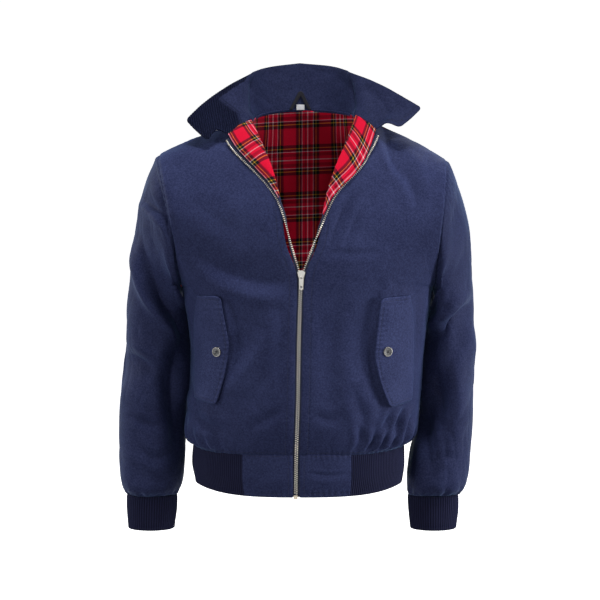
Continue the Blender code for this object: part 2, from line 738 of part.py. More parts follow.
def sleeve_point(side, angle, ring):
    table = np.array(SLEEVE_RINGS[side], float)
    rings = np.arange(len(table))
    section = smooth(rings, table, ring)
    a = np.radians(angle)
    middle = np.stack([(section[..., 0] + section[..., 2]) / 2, section[..., 4],
                       (section[..., 1] + section[..., 3]) / 2], axis=-1)
    toward_outer = np.stack([(section[..., 0] - section[..., 2]) / 2, np.zeros_like(a),
                             (section[..., 1] - section[..., 3]) / 2], axis=-1)
    places = middle + toward_outer * np.cos(a)[..., None]
    places[..., 1] -= section[..., 5] * np.sin(a)
    bow = ARMHOLE_BOW[side] * np.sin(a) ** 2 * np.clip(1 - ring / 3.0, 0, 1)
    places[..., 0] -= SIDES[side] * bow
    last = len(table) - 1
    gather = np.interp(ring, (last - 3.2, last - 2, last - 1, last), (0, 0.6, 1, 0))
    waves = (1 - np.cos(np.radians(CUFF_GATHERS * (angle + 18)))) / 2
    fold_room = ease(ring) * ease((last - ring) / 2.0)
    sink = sleeve_fold_depth(side, angle, ring) * fold_room + CUFF_GATHER_DEPTH * waves * gather
    return places + unit(middle - places) * sink[..., None]


def make_sleeve(side):
    last = len(SLEEVE_RINGS[side]) - 1
    angle, ring = np.meshgrid(np.arange(ARMHOLE_COLUMNS) * 360.0 / ARMHOLE_COLUMNS,
                              np.arange(last + 1).astype(float))
    grid = sleeve_point(side, angle, ring)
    grid = pull_in(grid, SEAM / 2, SEAM / 2)
    start_in = armhole_middle(side) - grid[0]
    end_middle = grid[-1].mean(axis=0)
    middle = grid.mean(axis=1, keepdims=True)
    mesh = wall("sleeve_" + side, grid, CLOTH, lambda points: points - middle, closed=True,
                seams={"first_row": start_in, "last_row": end_middle - grid[-1]})
    add_object("sleeve_" + side, mesh, NAVY, 0.75)


def make_cuff(side):
    girth = math.pi * (CUFF_HALF_WIDTH_TOP + CUFF_HALF_DEPTH)
    ribs = 2 * int(girth / RIB_PITCH_CUFF / 2)
    top_x, bottom_x = CUFF_MIDDLE[side]
    top = CUFF_TOP - SEAM / 2

    def place(share, level, inset):
        down = (top - level) / (top - CUFF_BOTTOM)
        width = CUFF_HALF_WIDTH_TOP + (CUFF_HALF_WIDTH_BOTTOM - CUFF_HALF_WIDTH_TOP) * down
        a = 2 * math.pi * share
        x = top_x + (bottom_x - top_x) * down + (width - inset) * np.cos(a)
        y = CUFF_Y - (CUFF_HALF_DEPTH - inset) * np.sin(a)
        return np.stack([x, y, np.full_like(x, level)], axis=-1)

    levels = (top, (top + CUFF_BOTTOM) / 2, CUFF_BOTTOM)
    mesh = ribbed_wall("cuff_" + side, place, ribs, levels, RIB_WALL, closed=True)
    add_object("cuff_" + side, mesh, RIB_NAVY, 0.9)


# ---------------------------------------------------------------- hem band

HEM_PROFILE = (
    # share of the way down, how far the band stands out from its top edge
    (0.0, 0.0), (0.5, 1.5), (1.0, -3.0),
)


def band_point(angle, down, inset):
    """Point of the hem band: angle 0 at the front, 90 on the wearer's left."""
    right, left, front, back = body_section(WAIST_LEVEL)
    table = np.array(HEM_PROFILE, float)
    stand = np.interp(down, table[:, 0], table[:, 1]) - inset
    a = np.radians(angle)
    sine = np.sin(a)
    cosine = np.cos(a)
    reach = np.where(sine > 0, left, right) + stand
    depth = np.where(cosine > 0, front, back) + stand
    x = np.sign(sine) * reach * np.abs(sine) ** 0.86
    y = -np.sign(cosine) * depth * np.abs(cosine) ** 0.86
    bottom = HEM_LEVEL - HEM_DIP * ease((cosine - 0.3) / 0.7)
    top = WAIST_LEVEL - SEAM / 2
    z = top + (bottom - top) * down
    return np.stack([x, y, z], axis=-1)


def band_angle(x):
    """Angle of the band whose front point lies at x."""
    right, left, front, back = body_section(WAIST_LEVEL)
    reach = left if x > 0 else right
    return math.degrees(math.asin((abs(x) / reach) ** (1 / 0.86))) * math.copysign(1, x)


def make_hem():
    start = band_angle(HEM_PLAIN_END["left"])
    end = 360.0 + band_angle(HEM_PLAIN_END["right"])
    probe = band_point(np.linspace(start, end, 200), 0.0, 0.0)
    length = np.linalg.norm(np.diff(probe, axis=0), axis=1).sum()
    ribs = 2 * int(length / RIB_PITCH_HEM / 2)
    gap = SEAM / length

    def place(share, level, inset):
        angle = start + (end - start) * (gap + share * (1 - 2 * gap))
        return band_point(angle, level, inset)

    mesh = ribbed_wall("hem_rib", place, ribs, (1.0, 0.5, 0.0), RIB_WALL, closed=False)
    add_object("hem_rib", mesh, RIB_NAVY, 0.9)
    for side, sign in SIDES.items():
        edge_x = centre_front_x(WAIST_LEVEL) + sign * ZIP_TO_CLOTH
        angles = np.linspace(band_angle(edge_x), band_angle(HEM_PLAIN_END[side]), 7)
        angle, down = np.meshgrid(angles, (1.0, 0.5, 0.0))
        grid = band_point(angle, down, 0.0)
        grid = pull_in(grid, 0.0, 0.0, 0.0, SEAM / 2)
        inner_end = band_point(angles[-1], 0.5, RIB_WALL) - band_point(angles[-1], 0.5, 0.0)
        mesh = wall("hem_front_" + side, grid, RIB_WALL, away_from_body,
                    seams={"last_row": -unit(grid[-1] * np.array([1.0, 1.0, 0.0])),
                           "first_row": -unit(grid[0] * np.array([1.0, 1.0, 0.0])),
                           "first_column": (0.0, 1.0, 0.0), "last_column": inner_end})
        add_object("hem_front_" + side, mesh, NAVY, 0.75)


# ---------------------------------------------------------------- lapels, collar, neck

def lapel_edges(side, s):
    """Roll edge and free edge of the turned-back strip, s from its foot (0) to the neck (1)."""
    panel = panels[(side, False)]
    table = np.array(LAPEL[side], float)
    at = s * (len(table) - 1)
    row = smooth(np.arange(len(table)), table, at)
    roll = panel.lifted(np.zeros_like(s), row[:, 0], np.full_like(s, 0.5 + CLOTH))
    u, k = panel.seen_at(row[:, 1], row[:, 2], row[:, 3] + CLOTH)
    free = panel.lifted(u, k, row[:, 3] + CLOTH)
    return roll, free


def lapel_point(side, across, s):
    """The turned-back strip's outer face."""
    roll, free = lapel_edges(side, s)
    places = roll[:, None] + (free - roll)[:, None] * across[None, :, None]
    width = np.linalg.norm(free - roll, axis=1)
    height = LAPEL_ROLL_HEIGHT * ease(width / 40.0)
    rise = np.array([0.0, -0.8, 0.6])
    hump = np.sin(math.pi * across ** 0.8)
    return places + rise * (height[:, None] * hump[None])[..., None]


def make_facing(side):
    across = np.linspace(0.0, 1.0, COLLAR_LAPEL_STATIONS * COLLAR_STEPS + 1)
    grid = lapel_point(side, across, np.linspace(0.0, 1.0, LAPEL_ROWS))
    grid = pull_in(grid, 0.0, SEAM / 2)
    mesh = wall("facing_" + side, grid, CLOTH, lambda points: np.array([0.0, -0.8, 0.6]),
                seams={"last_row": NECK_MITRE})
    add_object("facing_" + side, mesh, TARTAN_RED, 0.85)


def lapel_seam(side, across):
    """The collar's seam edge along the top of the lapel, clear of it by half a seam."""
    top = lapel_point(side, across, np.array([1.0]))[0]
    across_seam = unit(np.cross(top[-1] - top[0], NECK_MITRE))
    return top + across_seam * np.sign(across_seam[2]) * SEAM / 2


def neck_seam(side, angle):
    """The collar's seam edge round the back of the neck, just above the back's edge."""
    edge = panels[(side, True)].neck_and_shoulder(angle / 90.0 * NECK_SHARE)
    edge = edge - unit(edge * np.array([1.0, 1.0, 0.0])) * CLOTH
    return edge + np.array([0.0, 0.0, SEAM])


def collar_edges(side):
    """Seam edge and free edge of one half, from the middle of the back to the tip."""
    free = np.array(COLLAR_FREE_EDGE[side], float)
    stations = np.arange(len(free))
    at = np.arange((len(free) - 1) * COLLAR_STEPS + 1) / COLLAR_STEPS
    first = len(COLLAR_NECK_ANGLES) - 1
    last = first + COLLAR_LAPEL_STATIONS
    angle = np.interp(at[at < first], stations[:first + 1], COLLAR_NECK_ANGLES)
    on_lapel = lapel_seam(side, (at[(at >= first) & (at <= last)] - first) / COLLAR_LAPEL_STATIONS)
    loose = np.concatenate([on_lapel[-1:], np.array(COLLAR_LOOSE_SEAM[side], float)])
    beyond = smooth(np.arange(len(loose)), loose, at[at > last] - last)
    seam = np.concatenate([neck_seam(side, angle), on_lapel, beyond])
    return seam, smooth(stations, free, at)


def collar_grid():
    halves = []
    for side in SIDES:
        seam, free = collar_edges(side)
        up = np.linspace(0.0, 1.0, COLLAR_ROWS)[:, None, None]
        half = seam + (free - seam) * up
        outward = np.array([0.0, 0.35, -0.3])
        halves.append(half + outward * COLLAR_BOW * np.sin(math.pi * up))
    right, left = halves
    return np.concatenate([right[:, :0:-1], left], axis=1)


def make_collar():
    """The grid is the face seen inside the neck and on the wings; the wall goes out from it."""
    grid = collar_grid()
    station = np.abs(np.arange(grid.shape[1]) - grid.shape[1] // 2) / COLLAR_STEPS
    outward = unit(grid[0] * np.array([1.0, 1.0, 0.0]))
    on_lapel = (station >= len(COLLAR_NECK_ANGLES) - 1)[:, None]
    into_wall = np.where(on_lapel, np.array(NECK_MITRE), outward)
    mesh = wall("collar", grid, COLLAR_WALL, lambda points: np.array([0.0, -1.0, 0.3]),
                seams={"first_row": into_wall})
    add_object("collar", mesh, NAVY, 0.75)


def make_back_lining():
    rows = np.arange(-1.0, SHOULDER_ROW + 1.0)
    grid = back_grid(LINING_COLUMNS / BACK_COLUMNS, rows)
    inward = -grid_normals(grid, False)
    if (inward * away_from_body(grid)).sum() > 0:
        inward = -inward
    grid = grid + inward * (CLOTH + 0.6)
    grid[-1] = grid[-1] + (grid[-2] - grid[-1]) * LINING_BELOW_NECK
    mesh = wall("lining_back", grid, LINING, away_from_body)
    add_object("lining_back", mesh, TARTAN_RED, 0.85)


# ---------------------------------------------------------------- zip

def zip_stations(side):
    """Tooth line, direction to the tape and the tape's normal, from hem to neck."""
    sign = SIDES[side]
    half_gap = CHAIN_WIDTH / 2 + 0.2
    band_front = body_section(WAIST_LEVEL)[2]
    rows = [(ZIP_END, band_front - 2.7), ((WAIST_LEVEL + HEM_LEVEL - HEM_DIP) / 2, band_front + 1.5),
            (WAIST_LEVEL - 1.0, band_front)]
    rows += [(level, body_section(level)[2]) for level in ROW_LEVELS[1:-1]]
    rows += [(FRONT_EDGE[side][0][2], 130.0), (SLIDER_BOTTOM, 130.0)]
    heights, front = np.array(rows, float).T
    middle = centre_front_x(heights)
    closed = np.stack([middle + sign * half_gap, -front + ZIP_BEHIND_CLOTH, heights], axis=-1)
    heights_all = np.concatenate([heights, np.zeros(len(ZIP_OPEN_STEPS))])
    table = np.array(ZIP_OPEN[side], float)
    table = smooth(np.arange(len(table)), table, ZIP_OPEN_STEPS)
    panel = panels[(side, False)]
    u, k = panel.seen_at(table[:, 0], table[:, 1], table[:, 2])
    opened = panel.lifted(u, k, table[:, 2])
    edge = np.array(FRONT_EDGE[side], float)
    edge_x = np.interp(table[:, 1], edge[:, 2], edge[:, 0])
    edge_y = np.interp(table[:, 1], edge[:, 2], edge[:, 1])
    past_edge = np.stack([table[:, 0], edge_y - table[:, 2], table[:, 1]], axis=-1)
    is_past = sign * (table[:, 0] - edge_x) < 0
    opened = np.where(is_past[:, None], past_edge, opened)
    teeth = np.concatenate([closed, opened])
    normals = np.concatenate([np.tile([0.0, -1.0, 0.0], (len(closed), 1)), panel.normal(u, k)])
    roll = np.radians(np.concatenate([np.zeros(len(closed)), table[:, 3]]))
    along = unit(np.gradient(teeth, axis=0))
    away = np.cross(along, normals)
    away = unit(away * np.sign(away[:, :1] * sign))
    to_tape = away * np.cos(roll)[:, None] - normals * np.sin(roll)[:, None]
    is_closed = (roll <= 0)[:, None]
    to_tape = np.where(is_closed, np.array([sign, 0.0, 0.0]), to_tape)
    through = unit(np.where(is_closed, np.array([0.0, sign, 0.0]), np.cross(along, to_tape)))
    behind = np.where(heights_all < WAIST_LEVEL + 9, RIB_WALL + 1.1, CLOTH) - ZIP_BEHIND_CLOTH + 0.9
    reach = np.where(np.arange(len(teeth)) < len(closed), *TAPE_REACH)
    return teeth, to_tape, through, (behind * (roll <= 0))[:, None], reach[:, None]


def make_zip_side(side):
    teeth, to_tape, through, behind, far = zip_stations(side)
    near = TAPE_FROM_TOOTH
    middle = teeth + to_tape * (near + far) / 2 + np.array([0.0, 1.0, 0.0]) * behind
    mesh = strip("zip_tape_" + side, middle, to_tape * (far - near) / 2,
                 through * TAPE_THICK / 2)
    add_object("zip_tape_" + side, mesh, TAPE_BLACK, 0.9)
    mesh = strip("zip_chain_" + side, teeth, to_tape * CHAIN_WIDTH / 2,
                 through * CHAIN_THICK / 2)
    add_object("zip_chain_" + side, mesh, METAL, 0.35, 1.0)


SLIDER_X = 2.0
CHAIN_Y = -130.0 + ZIP_BEHIND_CLOTH
FRONT_PLATE_Y = -130.5           # back face of the front plate, just clear of the cloth
HINGE_Y = FRONT_PLATE_Y - PLATE - BAIL_INNER + 0.1
HINGE_Z = SLIDER_BOTTOM + 1.2


def staple(inner, outer, leg, steps):
    """Outline of a half ring with two legs, as (out, up) pairs round its middle."""
    angles = [math.radians(-90 + 180 * i / steps) for i in range(steps + 1)]
    line = [(outer * math.cos(a), outer * math.sin(a)) for a in angles]
    line += [(-leg, outer), (-leg, inner)]
    line += [(inner * math.cos(a), inner * math.sin(a)) for a in reversed(angles)]
    return line + [(-leg, -inner), (-leg, -outer)]


def turned(solid, middle):
    """Lay an outline solid, drawn in X and Z, in the plane across the zip."""
    vertices, faces = solid
    return [(middle[0] + y, middle[1] - x, middle[2] + z) for x, y, z in vertices], faces


def make_slider():
    top, bottom = SLIDER_TOP, SLIDER_BOTTOM
    wide = SLIDER_HALF_WIDTH
    shield = [(-2.6, top + 0.6), (2.6, top + 0.6), (wide, top - 2.2), (wide - 0.4, top - 4.6),
              (3.9, bottom), (-3.9, bottom), (-wide + 0.4, top - 4.6), (-wide, top - 2.2)]
    shield = [(x + SLIDER_X, z) for x, z in shield]
    back = [(-4.8, top), (4.8, top), (2.6, bottom), (-2.6, bottom)]
    back = [(x + SLIDER_X, z) for x, z in back]
    post = [(-2.2, top - 0.2), (2.2, top - 0.2), (0.5, top - 4.6), (-0.5, top - 4.6)]
    post = [(x + SLIDER_X, z) for x, z in post]
    back_y = CHAIN_Y + CHAIN_THICK / 2 + 0.5
    bail = turned(prism(staple(BAIL_INNER, BAIL_OUTER, BAIL_INNER + 0.4, 10), -0.7, 0.7),
                  (SLIDER_X, HINGE_Y, HINGE_Z))
    mesh = join_solids("zip_slider", [
        prism(shield, FRONT_PLATE_Y - PLATE, FRONT_PLATE_Y),
        prism(post, FRONT_PLATE_Y - 0.5, back_y + 0.5),
        prism(back, back_y, back_y + PLATE),
        bail,
    ])
    add_object("zip_slider", mesh, METAL, 0.35, 1.0)


def make_pull_tab():
    """Flat tab whose round top bar lies in the bail; its origin is on the hinge axis."""
    half = TAB_WIDTH / 2
    cheek = 1.4            # half width of the slot that the bail passes through
    slot_end = -2.7
    window_top = -TAB_LENGTH + 6.0
    window_end = -TAB_LENGTH + 2.6
    bar = [(0.7 * math.cos(a), 0.7 * math.sin(a))
           for a in (math.radians(30 * i) for i in range(12))]
    bar_vertices, bar_faces = prism(bar, -half + 1.2, half - 1.2)
    bar_solid = ([(y, -x, z) for x, y, z in bar_vertices], bar_faces)
    low, high = -TAB_THICK / 2, TAB_THICK / 2
    cheeks = [prism([(s * cheek, 0.5), (s * (half - 1.0), 0.5), (s * half, slot_end),
                     (s * cheek, slot_end)], low, high) for s in (-1.0, 1.0)]
    plate = prism([(-half, slot_end + 0.1), (half, slot_end + 0.1), (half * 0.8, window_top),
                   (-half * 0.8, window_top)], low, high)
    rails = [prism([(s * 1.5, window_top + 0.1), (s * half * 0.8, window_top + 0.1),
                    (s * half * 0.8, window_end), (s * 1.5, window_end)], low, high)
             for s in (-1.0, 1.0)]
    foot = prism([(-half * 0.8, window_end + 0.1), (half * 0.8, window_end + 0.1),
                  (half * 0.8, -TAB_LENGTH + 1.0), (half * 0.5, -TAB_LENGTH),
                  (-half * 0.5, -TAB_LENGTH), (-half * 0.8, -TAB_LENGTH + 1.0)], low, high)
    mesh = join_solids("zip_pull_tab", [plate, bar_solid] + cheeks + rails + [foot])
    piece = add_object("zip_pull_tab", mesh, METAL, 0.35, 1.0)
    piece.location = Vector((SLIDER_X, HINGE_Y, HINGE_Z)) * MM


def make_zip_box():
    """Bottom box of the separating zip, below the end of the teeth."""
    x = float(centre_front_x(-595))
    y = -body_section(WAIST_LEVEL)[2] + ZIP_BEHIND_CLOTH
    outline = [(x - 3.2, -592.4), (x + 3.2, -592.4), (x + 3.2, -598.6), (x - 3.2, -598.6)]
    vertices, faces = prism(outline, y - 1.4, y + 1.4)
    add_object("zip_box", solid_mesh("zip_box", vertices, faces), METAL, 0.35, 1.0)


# ---------------------------------------------------------------- flaps, buttons, neck trim

def make_pocket_flap(side):
    panel = panels[(side, False)]
    table = np.array(POCKET_FLAP[side], float)
    across = np.linspace(0.0, 1.0, 5)
    x = table[:, :1] + (table[:, 2:3] - table[:, :1]) * across
    z = table[:, 1:2] + (table[:, 3:4] - table[:, 1:2]) * across
    lift = FLAP_LIFT[0] + (FLAP_LIFT[1] - FLAP_LIFT[0]) * across + CLOTH
    lift = np.tile(lift, (len(table), 1))
    u, k = panel.seen_at(x, z, lift)
    grid = panel.lifted(u, k, lift)
    mesh = wall("pocket_flap_" + side, grid, CLOTH, away_from_body)
    add_object("pocket_flap_" + side, mesh, NAVY, 0.75)


def make_button(side):
    panel = panels[(side, False)]
    x, z = BUTTON_AT[side]
    share = 0.75
    lift = FLAP_LIFT[0] + (FLAP_LIFT[1] - FLAP_LIFT[0]) * share + CLOTH + 0.5
    u, k = panel.seen_at(np.array([x]), np.array([z]), np.array([lift]))
    base = panel.lifted(u, k, np.array([lift]))[0]
    axis = panel.normal(u, k)[0]
    profile = ((0.001, 0.0), (0.86, 0.0), (1.0, 0.9), (0.94, 2.2), (0.78, 2.4), (0.62, 1.5),
               (0.001, 1.4))
    turns = 24
    vertices = [(radius * BUTTON_RADIUS * math.cos(2 * math.pi * i / turns),
                 radius * BUTTON_RADIUS * math.sin(2 * math.pi * i / turns), height)
                for radius, height in profile[1:-1] for i in range(turns)]
    faces = [(j * turns + i, j * turns + (i + 1) % turns,
              (j + 1) * turns + (i + 1) % turns, (j + 1) * turns + i)
             for j in range(len(profile) - 3) for i in range(turns)]
    low = len(vertices)
    vertices += [(0.0, 0.0, profile[0][1]), (0.0, 0.0, profile[-1][1])]
    faces += [(low, (i + 1) % turns, i) for i in range(turns)]
    ring = (len(profile) - 3) * turns
    faces += [(low + 1, ring + i, ring + (i + 1) % turns) for i in range(turns)]
    turn = Vector((0.0, 0.0, 1.0)).rotation_difference(Vector(axis))
    placed = [np.array(turn @ Vector(v)) + base for v in vertices]
    mesh = solid_mesh("button_" + side, placed, faces)
    add_object("button_" + side, mesh, (0.09, 0.09, 0.09), 0.4)


def make_neck_trim():
    """Binding strip, hanger loop and blank label inside the back of the neck."""
    grid = back_grid(BINDING_COLUMNS / BACK_COLUMNS, np.array([SHOULDER_ROW - 1.0, SHOULDER_ROW]))
    grid[0] = grid[1] + (grid[0] - grid[1]) * LINING_BELOW_NECK * 0.9
    inward = -unit(grid * np.array([1.0, 1.0, 0.0]))
    grid = grid + inward * (CLOTH + BINDING_SET_IN)
    mesh = wall("neck_binding", grid, LINING, away_from_body)
    add_object("neck_binding", mesh, NAVY, 0.75)
    face = CLOTH + BINDING_SET_IN + LINING + 2 * SEAM
    neck_y = BACK_CENTRE[-1][0] - face
    low = BACK_CENTRE[-1][1] - 1.0

    def place(x, up, thick):
        y = neck_y - thick / 2 + NECK_LEAN * up - x * x / NECK_BEND
        return np.stack([x, y, low + up], axis=-1)

    for name, table, thick, colour in (
            ("hanger_loop", HANGER_LOOP, LOOP_THICK, TAPE_BLACK),
            ("size_label", SIZE_LABEL, LABEL_THICK, (0.45, 0.45, 0.46))):
        outer_x, outer_up, inner_x, inner_up = np.array(table).T
        outer = place(outer_x, outer_up, thick)
        inner = place(inner_x, inner_up, thick)
        through = np.array([0.0, thick / 2, 0.0])
        mesh = strip(name, (outer + inner) / 2, (outer - inner) / 2, through)
        add_object(name, mesh, colour, 0.9)


for each_side in SIDES:
    make_front(each_side)
    make_sleeve(each_side)
    make_cuff(each_side)
    make_facing(each_side)
    make_zip_side(each_side)
    make_pocket_flap(each_side)
    make_button(each_side)
make_back()
make_hem()
make_collar()
make_back_lining()
make_slider()
make_pull_tab()
make_zip_box()
make_neck_trim()
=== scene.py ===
import math

import bpy
import numpy as np
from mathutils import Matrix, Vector


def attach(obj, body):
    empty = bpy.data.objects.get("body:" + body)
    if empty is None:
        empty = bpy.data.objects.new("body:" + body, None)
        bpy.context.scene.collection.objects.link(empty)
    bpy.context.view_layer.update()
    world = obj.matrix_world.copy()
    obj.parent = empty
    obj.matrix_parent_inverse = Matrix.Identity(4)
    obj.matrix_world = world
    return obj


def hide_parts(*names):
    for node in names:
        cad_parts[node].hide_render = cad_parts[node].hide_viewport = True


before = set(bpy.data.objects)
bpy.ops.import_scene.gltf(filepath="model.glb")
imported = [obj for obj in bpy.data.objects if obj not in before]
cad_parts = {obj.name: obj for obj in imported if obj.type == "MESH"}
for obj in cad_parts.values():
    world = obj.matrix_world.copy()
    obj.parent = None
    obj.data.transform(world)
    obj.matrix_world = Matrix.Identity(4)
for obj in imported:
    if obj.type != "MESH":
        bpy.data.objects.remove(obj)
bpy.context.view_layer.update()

MM = 0.001   # every table below is in millimetres
SIDES = {"right": -1.0, "left": 1.0}   # the wearer's


# ------------------------------------------------------------------ studio
# A pale floor that sweeps up all round, soft lights, and the camera, a long lens a
# little above the middle of the jacket.

CAMERA_TARGET = (0.0, 0.0, -0.289)
CAMERA_DISTANCE = 3.2
CAMERA_LENS = 116.36
LOOK_DOWN = math.radians(6.0)
FLOOR_LEVEL = -1.0
FLOOR_RADIUS = 7.0
SWEEP_RADIUS = 6.0
FLAT_SHARE = 0.3       # of the way out from the middle of the floor, before it turns up
FLOOR_GREY = 0.93
FLOOR_GLOW = 0.9
AIR_GLOW = 0.12
WHITE = (1.0, 1.0, 1.0, 1.0)

LAMP_TARGET = (0.0, 0.0, -0.3)
LAMP_WIDTH = 0.5
SOFTBOXES = (
    # name, place, power
    ("ceiling", (0.0, -0.5, 2.4), 46.0),
    ("grazing", (2.4, -0.3, -0.3), 37.0),
    ("top_right", (1.6, -1.2, 1.8), 26.0),
    ("right", (2.3, -0.8, 0.4), 6.0),
    ("low_left", (-1.8, -2.2, -0.6), 14.0),
    ("left", (-2.4, -0.5, 0.4), 12.0),
    ("front", (0.0, -3.2, -0.1), 11.0),
    ("back", (0.9, 1.9, 1.6), 30.0),
    ("back_left", (-2.2, 1.2, 0.5), 30.0),
)


def aim(thing, place, target):
    """Add a camera or lamp to the scene at a place, turned to its target."""
    thing.location = place
    thing.rotation_euler = (Vector(target) - Vector(place)).to_track_quat("-Z", "Y").to_euler()
    bpy.context.scene.collection.objects.link(thing)


def grid_faces(rows, columns, closed):
    """Corner numbers of the quads between the points of a grid, row by row."""
    spans = columns if closed else columns - 1
    i, j = np.meshgrid(np.arange(rows - 1), np.arange(spans), indexing="ij")
    a = i * columns + j
    b = i * columns + (j + 1) % columns
    return np.stack([a, b, b + columns, a + columns], axis=-1).reshape(-1, 4)


def add_mesh(name, points, faces, materials=(), uv=None):
    """An object of quads between corner points in metres, smooth where it has a UV map."""
    mesh = bpy.data.meshes.new(name)
    mesh.from_pydata(points.reshape(-1, 3).tolist(), [], faces.tolist())
    if uv is not None:
        mesh.uv_layers.new(name="cloth").data.foreach_set("uv", uv.ravel())
        mesh.shade_smooth()
    for material in materials:
        mesh.materials.append(material)
    piece = bpy.data.objects.new(name, mesh)
    bpy.context.scene.collection.objects.link(piece)
    return piece


def studio_floor(material):
    """A disc that turns up through a quarter circle into a low wall: radius and height
    are functions of the way out from the middle, carried round a full turn."""
    way = np.linspace(0.0, 1.0, 40)
    turn = np.clip((way - FLAT_SHARE) / (1 - FLAT_SHARE), 0, 1) * math.pi / 2
    radius = FLOOR_RADIUS * np.clip(way / FLAT_SHARE, 1e-5, 1) + SWEEP_RADIUS * np.sin(turn)
    height = FLOOR_LEVEL + SWEEP_RADIUS * (1 - np.cos(turn))
    around = np.linspace(0, 2 * math.pi, 96, endpoint=False)
    x = radius[:, None] * np.cos(around)
    y = radius[:, None] * np.sin(around)
    z = np.tile(height[:, None], (1, len(around)))
    faces = grid_faces(len(way), len(around), True)
    floor = add_mesh("studio_floor", np.stack([x, y, z], axis=-1), faces, [material])
    floor.data.shade_smooth()
    return floor


camera_data = bpy.data.cameras.new("camera")
camera_data.lens = CAMERA_LENS
camera_data.sensor_width = 36.0
camera_data.clip_end = 60.0
camera = bpy.data.objects.new("camera", camera_data)
aim(camera, (0.0, -CAMERA_DISTANCE * math.cos(LOOK_DOWN),
             CAMERA_TARGET[2] + CAMERA_DISTANCE * math.sin(LOOK_DOWN)), CAMERA_TARGET)
bpy.context.scene.camera = camera

for name, place, power in SOFTBOXES:
    lamp = bpy.data.lights.new(name, "AREA")
    lamp.size = LAMP_WIDTH
    lamp.energy = power
    aim(bpy.data.objects.new(name, lamp), place, LAMP_TARGET)

world = bpy.data.worlds.new("studio_air")
world.use_nodes = True
world.node_tree.nodes["Background"].inputs["Color"].default_value = WHITE
world.node_tree.nodes["Background"].inputs["Strength"].default_value = AIR_GLOW
bpy.context.scene.world = world
bpy.context.scene.view_settings.view_transform = "Standard"

floor_paint = bpy.data.materials.new("studio_floor")
floor_paint.use_nodes = True
floor_shader = floor_paint.node_tree.nodes["Principled BSDF"]
for socket, value in (("Base Color", (FLOOR_GREY, FLOOR_GREY, FLOOR_GREY, 1.0)),
                      ("Roughness", 0.9), ("Emission Color", WHITE),
                      ("Emission Strength", FLOOR_GLOW)):
    floor_shader.inputs[socket].default_value = value
floor = studio_floor(floor_paint)
floor.visible_diffuse = False


# ------------------------------------------------------------------ body cloth
# Two fronts and a one-piece back of brushed navy cotton twill, lined with tartan. They
# are sewn together at the sides and shoulders and drawn in by tucks to the hem band.

CLOTH = 1.6             # thickness of shell and lining
SEAM = 0.3              # between pieces that are sewn together
WAIST_LEVEL = -526.0
WAIST_ROW = -9.0
SHOULDER_ROW = 10.0
SHOULDER_BEND = 60.0    # degrees that a row turns through at the shoulder
SQUARE = 0.86           # power of the squared ovals round the waist
ZIP_TO_CLOTH = 5.6
ARMHOLE_Y = 3.0
ARMHOLE_HALF_DEPTH = 88.0
ARMHOLE_BOW = {"right": 6.0, "left": 2.0}
NECK_SHARE = 5 / 14     # of the back's top edge, before the shoulder seam
SHOULDER_RISE = 6.0
SEWN_UNDER = 2.4        # how far the waist edge goes behind the hem band
UP = np.array([0.0, 0.0, 1.0])
LEVEL = np.array([1.0, 1.0, 0.0])

BODY_SECTIONS = np.array((
    # height, right, left, front, back
    (-526, 177, 173, 118, 108),
    (-519, 187, 183, 120.5, 111),
    (-506, 192, 193, 125.5, 117),
    (-486, 191, 196, 131, 123),
    (-455, 187, 199, 134, 128),
    (-400, 181, 203, 134, 128),
    (-355, 183, 206, 132, 127),
    (-310, 187, 213, 131, 127),
    (-268, 194, 219, 130, 126),
), float)
ROW_LEVELS = (-526, -519, -506, -486, -458, -424, -386, -347, -308, -268)
CENTRE_FRONT = np.array((
    # height, x of the zip
    (-600, -7), (-526, -6), (-435, -3), (-355, -2), (-275, 0), (-228, 2),
), float)
FRONT_EDGE = {
    "right": np.array((
        # x, y, height, one for each row from the underarm to the neck
        (-4.6, -130, -262), (-7.0, -130, -228), (-21, -127, -190), (-26, -121, -160),
        (-28, -114, -133), (-33, -104, -107), (-40, -91, -81), (-49, -75, -56),
        (-59, -55, -34), (-69, -31, -13), (-79, -2, 6),
    ), float),
    "left": np.array((
        (5.6, -130, -262), (11.0, -130, -228), (26, -127, -191), (32.5, -121, -162),
        (36, -114, -135), (42, -104, -109), (50, -91, -83), (60, -75, -58),
        (71, -55, -34), (81, -31, -10), (90, -2, 13),
    ), float),
}
BACK_CENTRE = np.array((
    # y, height, one for each row from the underarm to the neck
    (126, -268), (127, -240), (128, -212), (128, -184), (127, -155), (125, -126),
    (121, -97), (114, -68), (105, -40), (94, -10), (81, 24),
), float)
ARMHOLE = {
    # shoulder x, shoulder z, underarm x, underarm z
    "right": (-233, -50, -194, -268),
    "left": (241, -58, 219, -268),
}
